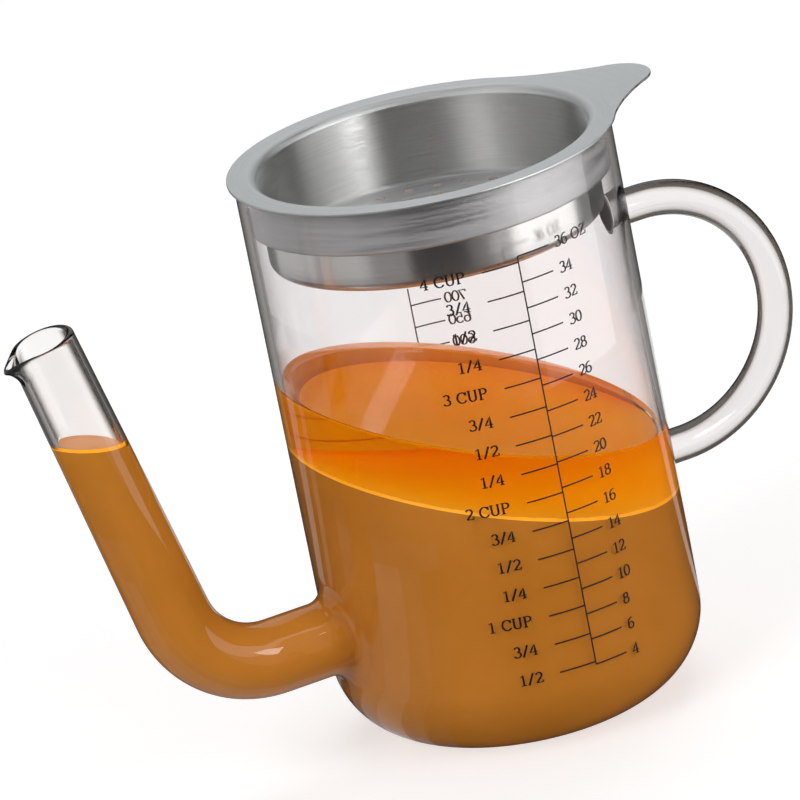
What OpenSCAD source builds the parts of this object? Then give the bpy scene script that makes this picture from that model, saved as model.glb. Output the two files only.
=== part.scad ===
// Glass gravy separator: a jug with a low bent spout, a loop handle and a steel
// strainer that lifts out of the mouth. Millimetres. The origin is the middle of
// the base and +Z is up. The spout leaves the jug along -X, the handle along +X.

/* [Jug] */
// Outer diameter of the glass jug
jug_d = 102; // [90:1:120]
// Height of the glass rim above the base
jug_h = 160; // [145:1:185]
// Thickness of the glass wall
jug_wall = 2; // [1.6:0.1:3]
// Thickness of the glass base
base_t = 3; // [2:0.1:5]
// Outer radius of the turn from the base into the wall
base_corner_r = 22; // [14:0.5:25]
// Radius of the two fire-polished edges of the rim
rim_edge_r = 0.7; // [0.3:0.05:0.75]

/* [Spout] */
// Outer diameter of the spout tube at its root and round its bend
spout_root_d = 20.6; // [16:0.2:24]
// Outer diameter of the spout tube at its mouth
spout_mouth_d = 18.4; // [15:0.2:22]
// Wall of the spout tube
spout_wall = 2; // [1.4:0.1:2.6]
// Height of the spout's root above the base
spout_z = 36; // [35:0.5:55]
// Straight run from the jug's wall to the bend
spout_run = 18.6; // [12:0.2:40]
// Radius of the bend, at the middle of the tube
spout_bend_r = 27; // [18:0.5:36]
// Lean of the upper leg away from the jug, in degrees from upright
spout_lean = 13.4; // [4:0.2:25]
// Height of the middle of the spout's mouth
spout_mouth_z = 141.2; // [125:0.2:155]
// Radius of the fillet that blends the spout into the jug
spout_fillet_r = 5.5; // [2:0.5:8]

/* [Pouring lip] */
// How far the lip stands out past the tube
lip_reach = 3.1; // [1.5:0.1:5]
// How far the tip of the lip lies below the rim of the mouth
lip_dip = 1.8; // [0.5:0.1:3]
// Length of tube that flares into the lip
lip_length = 9; // [6:0.5:14]
// Outer radius of the tip of the lip
lip_tip_r = 2.6; // [2:0.1:4]
// Thickness of the glass at the tip of the lip
lip_tip_wall = 1.3; // [0.8:0.1:1.6]

/* [Handle] */
// Diameter of the glass rod
handle_rod_d = 9.7; // [7:0.1:12]
// Height of the upper leg above the base
handle_top_z = 126; // [115:0.5:135]
// Height of the lower leg above the base
handle_bottom_z = 55.8; // [46:0.2:66]
// Straight run of each leg from the jug's wall to the bend
handle_leg = 7.9; // [5:0.1:20]
// Radius of the fillet that blends each leg into the jug
handle_fillet_r = 1.6; // [0.6:0.1:3]

/* [Strainer cup] */
// Thickness of the strainer's steel sheet
sheet_t = 0.8; // [0.5:0.1:1]
// How far the flange stands out past the glass
flange_overhang = 1.7; // [1:0.1:4]
// Depth of the cup, from the top of the flange to the underside of its floor
strainer_depth = 24.8; // [20:0.2:40]
// Outer radius of the turn from the cup's wall into its floor
cup_corner_r = 2.5; // [1.5:0.1:6]
// Gap between the strainer's flange and the glass rim
seat_gap = 0.1; // [0.05:0.05:0.3]

/* [Strainer holes] */
// Diameter of each hole
hole_d = 2.6; // [1.5:0.1:3.4]
// Distance between rings of holes, and between holes along a ring
hole_pitch = 7.9; // [5:0.1:12]
// Distance from the inside of the cup's wall to the outer ring of holes
hole_margin = 6.8; // [4:0.1:12]

/* [Strainer collar] */
// Height of the collar that centres the strainer in the glass
collar_h = 12.6; // [8:0.2:16]
// Thickness of the collar's steel sheet
collar_t = 0.8; // [0.5:0.1:1.2]
// Clearance between the collar and the glass
collar_clearance = 0.5; // [0.3:0.05:1]
// Gap between the collar and the cup's wall
collar_gap = 2.2; // [1:0.1:4]
// Gap between the collar's turned-in foot and the cup's wall
foot_clearance = 0.1; // [0.05:0.05:0.3]

/* [Thumb tab] */
// How far the tab stands out past the flange
tab_reach = 18.1; // [12:0.1:30]
// Radius of the tab's round end
tab_tip_r = 12; // [8:0.5:16]
// Radius of the hollow flanks between the tab and the flange
tab_flank_r = 80; // [30:1:120]
// Turn of the strainer in the mouth, from the handle to the tab
tab_turn = 4.5; // [-180:0.5:180]

/* [Hidden] */
$fn = 96;

glass_tint = [0.80, 0.86, 0.88, 0.45];
steel_tint = [0.72, 0.73, 0.74];
// Length by which a cutting shape runs past what it cuts
past = 1;
// Thickness of the slices that a blend is stretched between
slice = 0.02;
// Step by which one length of tube or a blend lies inside the next
seam = 0.02;
// Length by which a straight tube reaches into a bend
bend_lap = 0.5;

jug_r = jug_d / 2;
jug_inner_r = jug_r - jug_wall;

spout_root_r = spout_root_d / 2;
spout_mouth_r = spout_mouth_d / 2;
spout_bend_x = jug_r + spout_run;
spout_bend_angle = 90 - spout_lean;
spout_leg_x = spout_bend_x + spout_bend_r * cos(spout_lean);
spout_leg_z = spout_z + spout_bend_r * (1 - sin(spout_lean));
spout_leg_length = (spout_mouth_z - spout_leg_z) / cos(spout_lean);
lip_bend_x = spout_mouth_r + lip_reach - lip_tip_r;
// Where across the mouth the rim starts to dip towards the lip
lip_dip_x = spout_mouth_r / 2;
lip_dip_angle = atan(lip_dip / (spout_mouth_r + lip_reach - lip_dip_x));

handle_rod_r = handle_rod_d / 2;
handle_bend_r = (handle_top_z - handle_bottom_z) / 2;
handle_bend_x = jug_r + handle_leg;
handle_mid_z = (handle_top_z + handle_bottom_z) / 2;

flange_bottom_z = jug_h + seat_gap;
flange_top_z = flange_bottom_z + sheet_t;
flange_r = jug_r + flange_overhang;
collar_r = jug_inner_r - collar_clearance;
collar_inner_r = collar_r - collar_t;
cup_r = collar_inner_r - collar_gap;
cup_inner_r = cup_r - sheet_t;
cup_floor_z = flange_top_z - strainer_depth;
// The flange turns down into the cup over this radius and ends at the collar
mouth_roll_r = collar_gap + sheet_t;
hole_ring_r = cup_inner_r - hole_margin;
hole_rings = round(hole_ring_r / hole_pitch);

tab_tip_x = flange_r + tab_reach - tab_tip_r;
// How far inside the flange's edge the flanks start, so that they cross it
tab_root_lap = 0.1;
tab_root_r = flange_r - tab_root_lap;
// Width of the ring in which the tab's sheet laps onto the flange
tab_lap = 2;
// Straight steps in each flank and in each of the tab's two round arcs
flank_steps = 16;
round_steps = 32;
// Centre of a flank's arc, which touches the root circle and the tab's round end
tab_flank_x = (pow(tab_root_r + tab_flank_r, 2) - pow(tab_tip_r + tab_flank_r, 2)
    + pow(tab_tip_x, 2)) / (2 * tab_tip_x);
tab_flank_y = sqrt(pow(tab_root_r + tab_flank_r, 2) - pow(tab_flank_x, 2));
// Directions of a flank's centre from the strainer's axis and from the tab's end
tab_root_angle = atan2(tab_flank_y, tab_flank_x);
tab_end_angle = atan2(tab_flank_y, tab_flank_x - tab_tip_x);

// Keeps the quarter of a flat shape on one side of a corner
module quarter(x, z, size, right, up) {
    intersection() {
        children();
        translate([right ? x : x - size, up ? z : z - size])
            square(size);
    }
}

// Half section of a pot with a flat floor at height z and a round lower corner
module pot_section(r, z, top, corner) {
    translate([0, z])
        square([r - corner, top - z]);
    translate([0, z + corner])
        square([r, top - z - corner]);
    quarter(r - corner, z + corner, corner, true, false)
        translate([r - corner, z + corner])
            circle(corner);
}

// The glass jug as if it were solid
module jug_solid() {
    rotate_extrude()
        pot_section(jug_r, 0, jug_h, base_corner_r);
}

// Half section of the jug's glass, with both edges of the rim rounded
module jug_section() {
    difference() {
        pot_section(jug_r, 0, jug_h - rim_edge_r, base_corner_r);
        pot_section(jug_inner_r, base_t, jug_h + past, base_corner_r - jug_wall);
    }
    translate([jug_inner_r + rim_edge_r, jug_h - rim_edge_r])
        square([jug_wall - 2 * rim_edge_r, rim_edge_r]);
    quarter(jug_inner_r + rim_edge_r, jug_h - rim_edge_r, rim_edge_r, false, true)
        translate([jug_inner_r + rim_edge_r, jug_h - rim_edge_r])
            circle(rim_edge_r);
    quarter(jug_r - rim_edge_r, jug_h - rim_edge_r, rim_edge_r, true, true)
        translate([jug_r - rim_edge_r, jug_h - rim_edge_r])
            circle(rim_edge_r);
}

// How far a round jug wall falls back from a tangent plane, at a distance from it
function wall_sag(reach) = jug_r - sqrt(pow(jug_r, 2) - pow(reach, 2));

// A hollow cone round a rod of radius r that stands on the jug's wall, along +Z
module root_fillet(r, fillet) {
    foot_r = r - seam + fillet;
    foot_z = -wall_sag(foot_r) - past;
    rotate_extrude()
        difference() {
            translate([0, foot_z])
                square([foot_r, fillet - foot_z]);
            translate([foot_r, fillet])
                circle(fillet);
        }
}

// A round rod along the spout's centre line, straight, bent and straight again.
// inner is how far it starts behind the wall, outer how far it passes the mouth.
module spout_rod(root_r, mouth_r, inner, outer) {
    taper = (root_r - mouth_r) / spout_leg_length;
    translate([-jug_r + inner, 0, spout_z])
        rotate([0, -90, 0])
            cylinder(h = inner + spout_run + bend_lap, r = root_r - seam);
    translate([-spout_bend_x, 0, spout_z + spout_bend_r])
        rotate([90, 0, 0])
            rotate([0, 0, spout_lean - 180])
                rotate_extrude(angle = spout_bend_angle)
                    translate([spout_bend_r, 0])
                        circle(root_r);
    at_leg()
        translate([0, 0, -bend_lap])
            cylinder(
                h = bend_lap + spout_leg_length + outer,
                r1 = root_r - seam,
                r2 = mouth_r - taper * outer
            );
}

// Places shapes at the foot of the spout's upper leg, +Z along it and -X outwards
module at_leg() {
    translate([-spout_leg_x, 0, spout_leg_z])
        rotate([0, -spout_lean, 0])
            children();
}

// Places shapes at the mouth of the spout, +Z out of it and -X towards the lip
module at_mouth() {
    at_leg()
        translate([0, 0, spout_leg_length])
            children();
}

// A beak drawn from a length of tube to a round tip, inner or outer surface
module lip_beak(r, tip_r, tip_z) {
    hull() {
        translate([0, 0, -lip_length])
            cylinder(h = slice, r = r - seam, $fn = 32);
        translate([0, 0, past])
            cylinder(h = slice, r = r - seam, $fn = 32);
        translate([-lip_bend_x, 0, tip_z])
            sphere(tip_r, $fn = 32);
    }
}

// What the mouth's rim loses where it dips towards the lip
module lip_dip_cut() {
    size = 2 * (spout_mouth_d + lip_reach);
    translate([-lip_dip_x, 0, 0])
        rotate([0, -lip_dip_angle, 0])
            translate([-size, -size / 2, 0])
                cube(size);
    translate([-size / 2, -size / 2, 0])
        cube(size);
}

module jug_body() {
    color(glass_tint)
        difference() {
            rotate_extrude()
                jug_section();
            translate([-jug_inner_r / 2, 0, spout_z])
                rotate([0, -90, 0])
                    cylinder(h = jug_r, r = spout_root_r - spout_wall);
        }
}

module spout() {
    color(glass_tint)
        difference() {
            union() {
                spout_rod(spout_root_r, spout_mouth_r, wall_sag(spout_root_r) + past, past);
                translate([-jug_r, 0, spout_z])
                    rotate([0, -90, 0])
                        root_fillet(spout_root_r, spout_fillet_r);
                at_mouth()
                    lip_beak(spout_mouth_r, lip_tip_r, -lip_dip - lip_tip_r / 2);
            }
            jug_solid();
            spout_rod(spout_root_r - spout_wall, spout_mouth_r - spout_wall, jug_wall + past, past);
            at_mouth()
                lip_beak(spout_mouth_r - spout_wall, lip_tip_r - lip_tip_wall, -lip_dip);
            at_mouth()
                lip_dip_cut();
        }
}

module handle_root(z) {
    inner = wall_sag(handle_rod_r) + past;
    translate([jug_r - inner, 0, z])
        rotate([0, 90, 0])
            cylinder(h = handle_leg + inner, r = handle_rod_r);
    translate([jug_r, 0, z])
        rotate([0, 90, 0])
            root_fillet(handle_rod_r, handle_fillet_r);
}

module handle() {
    color(glass_tint)
        difference() {
            union() {
                handle_root(handle_top_z);
                handle_root(handle_bottom_z);
                translate([handle_bend_x, 0, handle_mid_z])
                    rotate([90, 0, 0])
                        rotate([0, 0, -90])
                            rotate_extrude(angle = 180)
                                translate([handle_bend_r, 0])
                                    circle(handle_rod_r);
            }
            jug_solid();
        }
}

// Half section of the drawn cup: flange, roll into the mouth, wall, turn and floor
module cup_section() {
    roll_x = cup_inner_r + mouth_roll_r;
    roll_z = flange_top_z - mouth_roll_r;
    corner_x = cup_r - cup_corner_r;
    corner_z = cup_floor_z + cup_corner_r;
    translate([roll_x, flange_bottom_z])
        square([flange_r - roll_x, sheet_t]);
    quarter(roll_x, roll_z, mouth_roll_r, false, true)
        translate([roll_x, roll_z])
            difference() {
                circle(mouth_roll_r);
                circle(mouth_roll_r - sheet_t);
            }
    translate([cup_inner_r, corner_z])
        square([sheet_t, roll_z - corner_z]);
    quarter(corner_x, corner_z, cup_corner_r, true, false)
        translate([corner_x, corner_z])
            difference() {
                circle(cup_corner_r);
                circle(cup_corner_r - sheet_t);
            }
    translate([0, cup_floor_z])
        square([corner_x, sheet_t]);
}

// Points along an arc
function arc(centre, r, from, to, steps) = [
    for (i = [0:steps])
        let (a = from + (to - from) * i / steps)
        centre + r * [cos(a), sin(a)]
];

// Outline of the thumb tab: hollow flank, round end, hollow flank, lap on the flange
module tab_outline() {
    polygon(concat(
        arc([tab_flank_x, tab_flank_y], tab_flank_r, 180 + tab_root_angle, 180 + tab_end_angle,
            flank_steps),
        arc([tab_tip_x, 0], tab_tip_r, tab_end_angle, -tab_end_angle, round_steps),
        arc([tab_flank_x, -tab_flank_y], tab_flank_r, 180 - tab_end_angle, 180 - tab_root_angle,
            flank_steps),
        arc([0, 0], flange_r - tab_lap, -tab_root_angle, tab_root_angle, round_steps)
    ));
}

// Holes in rings round one in the middle, as evenly spaced as each ring allows
module strainer_holes() {
    for (ring = [0:hole_rings]) {
        ring_r = hole_ring_r - (hole_rings - ring) * hole_pitch;
        holes = max(1, round(2 * PI * ring_r / hole_pitch));
        for (i = [0:holes - 1])
            rotate([0, 0, i * 360 / holes])
                translate([holes > 1 ? ring_r : 0, 0, cup_floor_z - past])
                    cylinder(h = sheet_t + 2 * past, d = hole_d, $fn = 24);
    }
}

module strainer_cup() {
    color(steel_tint)
        rotate([0, 0, tab_turn])
            difference() {
                union() {
                    rotate_extrude()
                        cup_section();
                    translate([0, 0, flange_bottom_z])
                        linear_extrude(sheet_t)
                            tab_outline();
                }
                strainer_holes();
            }
}

module strainer_collar() {
    bottom = flange_bottom_z - collar_h;
    foot_r = cup_r + foot_clearance;
    color(steel_tint)
        rotate_extrude() {
            translate([collar_inner_r, bottom + collar_t])
                square([collar_t, collar_h - collar_t]);
            quarter(collar_inner_r, bottom + collar_t, collar_t, true, false)
                translate([collar_inner_r, bottom + collar_t])
                    circle(collar_t);
            translate([foot_r, bottom])
                square([collar_inner_r - foot_r, collar_t]);
        }
}

jug_body();
spout();
handle();
strainer_cup();
strainer_collar();
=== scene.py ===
# %% [markdown]
# # A glass gravy separator with a steel strainer
#
# The real thing is a blown glass jug with a low bent spout, a loop handle and a steel strainer in its
# mouth. Its hard parts are drawn to size elsewhere and come in as a fixed frame. This lesson gives
# them their looks: fused glass, brushed steel, a printed scale, and the gravy and fat inside.

# %% Load the frame
import math

import bmesh
import bpy
import numpy as np
from mathutils import Matrix, Vector


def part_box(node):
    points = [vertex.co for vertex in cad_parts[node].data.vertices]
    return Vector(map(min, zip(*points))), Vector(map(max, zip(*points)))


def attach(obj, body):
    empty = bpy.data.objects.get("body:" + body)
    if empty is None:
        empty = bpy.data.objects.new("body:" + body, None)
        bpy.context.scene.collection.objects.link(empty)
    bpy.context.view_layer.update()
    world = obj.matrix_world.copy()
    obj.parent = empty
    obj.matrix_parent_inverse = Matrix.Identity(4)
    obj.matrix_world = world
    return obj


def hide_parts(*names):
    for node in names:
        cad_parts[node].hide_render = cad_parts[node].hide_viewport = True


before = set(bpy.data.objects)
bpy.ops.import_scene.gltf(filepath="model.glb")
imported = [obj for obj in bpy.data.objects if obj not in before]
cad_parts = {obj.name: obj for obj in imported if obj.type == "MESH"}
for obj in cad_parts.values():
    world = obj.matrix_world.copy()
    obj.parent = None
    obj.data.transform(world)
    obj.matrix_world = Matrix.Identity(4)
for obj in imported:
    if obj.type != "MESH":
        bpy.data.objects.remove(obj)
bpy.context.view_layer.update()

MM = 0.001

# %% [markdown]
# ## Sizes
#
# Blender works in metres, but a glassblower thinks in millimetres. Every size below is in
# millimetres, and one function turns them into metres when a mesh is made. The sizes that the frame
# can tell are read from it, so that the looks can't drift away from the hard parts.

# %% Sizes that the frame gives
jug_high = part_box("jug_body")[1] / MM
cup_low, cup_high = (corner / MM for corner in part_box("strainer_cup"))
collar_low, collar_high = (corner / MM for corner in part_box("strainer_collar"))
jug_r = jug_high.x
jug_h = jug_high.z
flange_r = -cup_low.x
flange_top_z = cup_high.z
cup_floor_z = cup_low.z
collar_r = collar_high.x
collar_bottom_z = collar_low.z
print(f"jug {2 * jug_r:.1f} wide and {jug_h:.1f} high, flange {2 * flange_r:.1f} wide")

# %% Sizes of the glass, in millimetres
jug_wall = 2
base_t = 3
base_corner_r = 22
rim_edge_r = 0.7
spout_r = 10.3
spout_mouth_r = 9.2
spout_wall = 2
spout_z = 36
spout_run = 18.6
spout_bend_r = 27
spout_lean = math.radians(13.4)
spout_mouth_z = 141.2
spout_fillet_r = 5.5
bore_fillet_r = 1.6
lip_reach = 3.1
lip_dip = 1.8
lip_length = 9
lip_tip_r = 2.6
lip_tip_wall = 1.3
handle_r = 4.85
handle_top_z = 126
handle_bottom_z = 55.8
handle_leg = 7.9
handle_fillet_r = 1.6
jug_inner_r = jug_r - jug_wall
print("bore of the spout:", 2 * (spout_r - spout_wall), "mm")

# %% [markdown]
# ## Colour
#
# Colours are picked as sRGB hex values, as on a screen, but a shader counts light, so it wants linear
# values. One function does the change for every colour in the lesson.


# %% Hex to linear
def to_linear(hex_colour):
    """The linear red, green, blue and alpha of an sRGB hex colour."""
    shares = [int(hex_colour[i : i + 2], 16) / 255 for i in (1, 3, 5)]
    linear = [s / 12.92 if s <= 0.04045 else ((s + 0.055) / 1.055) ** 2.4 for s in shares]
    return (*linear, 1)


print("mid grey is", round(to_linear("#808080")[0], 3))


# %% [markdown]
# ## Building a material
#
# A node tree is a list of nodes with settings and links, so one small function that adds a node and
# fills its sockets is all that is needed. A value that is a socket is linked, any other is set.


# %% Add a node
def add_node(tree, kind, sockets=None, **settings):
    """Adds a node, sets its settings, and links or sets each of its input sockets."""
    node = tree.nodes.new(kind)
    for name, value in settings.items():
        setattr(node, name, value)
    for name, value in (sockets or {}).items():
        if isinstance(value, bpy.types.NodeSocket):
            tree.links.new(value, node.inputs[name])
        else:
            node.inputs[name].default_value = value
    return node


def new_material(name):
    """An empty node material, its tree, and its output node."""
    material = bpy.data.materials.new(name)
    material.use_nodes = True
    material.node_tree.nodes.clear()
    output = material.node_tree.nodes.new("ShaderNodeOutputMaterial")
    return material, material.node_tree, output


# %% [markdown]
# ## Building a mesh
#
# Glass bends what is behind it, so every ripple of a mesh shows. Booleans and remeshing leave such
# ripples. Here the glass is laid out instead, as rings of points that are bridged with quads,
# and every point lies exactly on the shape that a formula gives.


# %% Places, rings and strips
class Shape:
    """Points in millimetres and the faces between them."""

    def __init__(self):
        self.places = []
        self.faces = []
        self.count = 0

    def add(self, places):
        """Adds an array of places and returns their numbers in the same layout."""
        places = np.asarray(places, float)
        self.places.append(places.reshape(-1, 3))
        first = self.count
        self.count += self.places[-1].shape[0]
        return np.arange(first, self.count).reshape(places.shape[:-1])

    def strip(self, a, b):
        """Adds the quads between two closed rings of numbers."""
        for i in range(len(a)):
            j = (i + 1) % len(a)
            self.faces.append((a[i], a[j], b[j], b[i]))

    def strips(self, rings):
        """Adds the quads between each ring and the next."""
        for a, b in zip(rings, rings[1:]):
            self.strip(a, b)

    def fan(self, ring, place):
        """Closes a ring with triangles to one place."""
        middle = int(self.add([place])[0])
        for i in range(len(ring)):
            self.faces.append((ring[i], ring[(i + 1) % len(ring)], middle))

    def to_object(self, name, smooth=True):
        """Makes a Blender object in metres, with its faces turned outwards."""
        mesh = bpy.data.meshes.new(name)
        places = np.concatenate(self.places) * MM
        mesh.from_pydata(places.tolist(), [], [tuple(map(int, f)) for f in self.faces])
        mesh.validate()
        work = bmesh.new()
        work.from_mesh(mesh)
        bmesh.ops.recalc_face_normals(work, faces=work.faces)
        work.to_mesh(mesh)
        work.free()
        mesh.polygons.foreach_set("use_smooth", [smooth] * len(mesh.polygons))
        thing = bpy.data.objects.new(name, mesh)
        bpy.context.scene.collection.objects.link(thing)
        return thing


def turned(profile, steps):
    """Turns (radius, height) pairs round the Z axis into rings of places."""
    angles = np.arange(steps) * 2 * math.pi / steps
    profile = np.asarray(profile, float)
    x = profile[:, :1] * np.cos(angles)
    y = profile[:, :1] * np.sin(angles)
    z = np.repeat(profile[:, 1:], steps, axis=1)
    return np.stack([x, y, z], axis=-1)


def arc(centre, radius, start, end, steps):
    """Points along an arc in the plane, with its angles in degrees."""
    angles = np.radians(np.linspace(start, end, steps + 1))
    return [(centre[0] + radius * math.cos(a), centre[1] + radius * math.sin(a)) for a in angles]


def between(a, b, steps):
    """Evenly spaced rings from one ring to another, without the first."""
    return [a * (1 - share) + b * share for share in np.linspace(0, 1, steps + 1)[1:]]


def open_edges(thing):
    """How many edges don't join exactly two faces, and the volume in cubic millimetres."""
    work = bmesh.new()
    work.from_mesh(thing.data)
    loose = sum(1 for e in work.edges if len(e.link_faces) != 2)
    volume = work.calc_volume() / MM**3
    work.free()
    return loose, volume


print("a ring of three points:", turned([(1, 0)], 3).round(2).tolist())

# %% [markdown]
# ## The jug's wall
#
# The jug is a turned shape: one profile runs from the middle of the base up the outside, over the
# rim and down the inside. Where the spout and the handle are fused on, a square window of the grid
# is left open. It is filled later with rings that run from the square to the round root.

# %% The grid of the jug
COLUMNS = 240
WALL_STEP = 4 / 3
WALL_FOOT_Z = 16
WALL_ROWS = 107
wall_heights = [WALL_FOOT_Z + WALL_STEP * i for i in range(WALL_ROWS)]


def outer_radius(z):
    """Radius of the jug's outside at a height."""
    sunk = np.maximum(base_corner_r - np.asarray(z, float), 0)
    return jug_r - base_corner_r + np.sqrt(base_corner_r**2 - sunk**2)


def inner_radius(z):
    """Radius of the jug's inside at a height."""
    corner = base_corner_r - jug_wall
    sunk = np.maximum(base_t + corner - np.asarray(z, float), 0)
    return jug_inner_r - corner + np.sqrt(corner**2 - sunk**2)


def foot(radius_at, corner, floor_z):
    """Profile from the flat floor round the corner to the foot of the wall's grid."""
    middle_r = radius_at(floor_z + corner) - corner
    foot_angle = math.degrees(math.asin((floor_z + corner - WALL_FOOT_Z) / corner))
    flat = [(middle_r * share, floor_z) for share in (0.08, 0.3, 0.55, 0.8)]
    bend = arc((middle_r, floor_z + corner), corner, -90, -foot_angle, 22)
    return flat + bend[:-1]


rim_z = jug_h - rim_edge_r
outer_rows = [(float(outer_radius(z)), z) for z in wall_heights]
inner_rows = [(float(inner_radius(z)), z) for z in wall_heights]
rim = (
    arc((jug_r - rim_edge_r, rim_z), rim_edge_r, 0, 90, 6)
    + arc((jug_inner_r + rim_edge_r, rim_z), rim_edge_r, 90, 180, 6)
)
jug_foot = foot(outer_radius, base_corner_r, 0)
bowl_foot = foot(inner_radius, base_corner_r - jug_wall, base_t)
jug_profile = jug_foot + outer_rows + rim + inner_rows[::-1] + bowl_foot[::-1]
outer_row = len(jug_foot)
inner_row = outer_row + WALL_ROWS + len(rim) + WALL_ROWS - 1
glass = Shape()
grid = glass.add(turned(jug_profile, COLUMNS))
glass.fan(grid[0], (0, 0, 0))
glass.fan(grid[-1], (0, 0, base_t))
print("rows in the jug's profile:", len(jug_profile))

# %% [markdown]
# ## Roots that flow into the wall
#
# A glassblower heats wall and tube until they run together, which leaves a hollow fillet. Here each
# point of the tube gets its own curve, which leaves the wall along the wall and joins the tube along
# the tube. A cubic curve with handles of 0.5523 times the radius is all but a true round.

# %% Windows and roots
ROUND_HANDLE = 0.5523
FILLET_STEPS = 9
UP = np.array([0.0, 0.0, 1.0])
windows = []


class Port:
    """A round opening in the wall, for a tube that leaves it level, at an angle round the jug."""

    def __init__(self, angle, z, half, radius_at, row_of):
        self.angle, self.z, self.radius_at = math.radians(angle), z, radius_at
        self.out = np.array([math.cos(self.angle), math.sin(self.angle), 0.0])
        self.side = np.array([-math.sin(self.angle), math.cos(self.angle), 0.0])
        self.turns = np.arange(8 * half) * 2 * math.pi / (8 * half)
        column = round(angle / 360 * COLUMNS)
        row = round((z - WALL_FOOT_Z) / WALL_STEP)
        path = [(half, k) for k in range(half)]
        path += [(k, half) for k in range(half, -half, -1)]
        path += [(-half, k) for k in range(half, -half, -1)]
        path += [(k, -half) for k in range(-half, half)]
        path += [(half, k) for k in range(-half, 0)]
        self.edge = np.array([grid[row_of(row + k), (column + j) % COLUMNS] for j, k in path])
        self.edge_turn = np.array([j for j, k in path]) * 2 * math.pi / COLUMNS
        self.edge_z = np.array([wall_heights[row + k] for j, k in path])
        windows.append({
            (min(row_of(row + k), row_of(row + k + 1)), (column + j) % COLUMNS)
            for j in range(-half, half)
            for k in range(-half, half)
        })

    def on_wall(self, reach):
        """Places on the wall at a distance from the tube's axis, one for each turn."""
        across = reach * np.cos(self.turns)
        height = self.z + reach * np.sin(self.turns)
        depth = np.sqrt(self.radius_at(height) ** 2 - across**2)
        return self.out * depth[:, None] + self.side * across[:, None] + UP * height[:, None]

    def fill_window(self, reach, steps):
        """Rings from the square window to a round one at a distance from the tube's axis."""
        height = self.z + reach * np.sin(self.turns)
        turn = np.arcsin(reach * np.cos(self.turns) / self.radius_at(height))
        rings = [self.edge]
        for share in np.linspace(1, 0, steps + 1)[1:]:
            z = height + (self.edge_z - height) * share
            angle = self.angle + turn + (self.edge_turn - turn) * share
            r = self.radius_at(z)
            rings.append(glass.add(np.stack([r * np.cos(angle), r * np.sin(angle), z], axis=-1)))
        glass.strips(rings)
        return rings[-1]

    def root(self, tube_r, fillet):
        """Rings of the fillet from the wall to the tube, without the one on the wall."""
        start = self.on_wall(tube_r + fillet)
        lead = self.on_wall(tube_r + fillet * 0.98) - start
        lead *= ROUND_HANDLE * fillet / np.linalg.norm(lead, axis=1)[:, None]
        end = self.on_wall(tube_r) + self.out * fillet
        back = -self.out * ROUND_HANDLE * fillet
        rings = []
        for t in np.linspace(0, 1, FILLET_STEPS + 1)[1:]:
            rings.append(
                start * (1 - t) ** 3
                + (start + lead) * 3 * t * (1 - t) ** 2
                + (end + back) * 3 * t**2 * (1 - t)
                + end * t**3
            )
        return rings


def outer_row_of(row):
    """Row of the grid for a row of the outer wall, counted upwards."""
    return outer_row + row


def inner_row_of(row):
    """Row of the grid for a row of the inner wall, counted upwards."""
    return inner_row - row


SPOUT_HALF = 15
HANDLE_HALF = 7
spout_port = Port(180, spout_z, SPOUT_HALF, outer_radius, outer_row_of)
bore_port = Port(180, spout_z, SPOUT_HALF, inner_radius, inner_row_of)
top_port = Port(0, handle_top_z, HANDLE_HALF, outer_radius, outer_row_of)
bottom_port = Port(0, handle_bottom_z, HANDLE_HALF, outer_radius, outer_row_of)
left_open = set().union(*windows)
for row in range(len(jug_profile) - 1):
    for column in range(COLUMNS):
        if (row, column) not in left_open:
            beside = (column + 1) % COLUMNS
            glass.faces.append(
                (grid[row, column], grid[row, beside], grid[row + 1, beside], grid[row + 1, column])
            )
print("cells left open for the roots:", len(left_open))

# %% [markdown]
# ## The spout
#
# The spout is one tube, drawn thinner towards its mouth, bent over a former and fused on. It is
# swept ring by ring along its middle line. At the mouth the soft edge was pulled out with a rod into
# a beak that lets the last drop go, so the rings there swell into a drop shape and dip.

# %% Sweep along the spout
BEND_STEPS = 34
LEG_STEP = 2.0
bend_x = jug_r + spout_run
leg_x = bend_x + spout_bend_r * math.cos(spout_lean)
leg_z = spout_z + spout_bend_r * (1 - math.sin(spout_lean))
leg_length = (spout_mouth_z - leg_z) / math.cos(spout_lean)
leg_axis = spout_port.out * math.sin(spout_lean) + UP * math.cos(spout_lean)
turns = spout_port.turns
# Angle of each point from the lip, which lies on the side away from the jug
from_lip = (turns - 1.5 * math.pi + math.pi) % (2 * math.pi) - math.pi


def spout_ring(x, z, rise, radius):
    """A ring round the spout's middle line, which rises at an angle from level."""
    out, side = spout_port.out, spout_port.side
    upward = -out * math.sin(rise) + UP * math.cos(rise)
    radius = np.broadcast_to(radius, turns.shape)
    middle = out * x + UP * z
    return (
        middle
        + side * (radius * np.cos(turns))[:, None]
        + upward * (radius * np.sin(turns))[:, None]
    )


def along_leg(distance):
    """Distance out from the jug's axis and height, at a distance along the upper leg."""
    return leg_x + distance * math.sin(spout_lean), leg_z + distance * math.cos(spout_lean)


def bend_rings(radius):
    """Rings round the bend, from its foot to the foot of the upper leg, without the first."""
    rings = []
    for rise in np.linspace(0, math.pi / 2 - spout_lean, BEND_STEPS + 1)[1:]:
        x = bend_x + spout_bend_r * math.sin(rise)
        z = spout_z + spout_bend_r * (1 - math.cos(rise))
        rings.append(spout_ring(x, z, rise, radius))
    return rings


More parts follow.
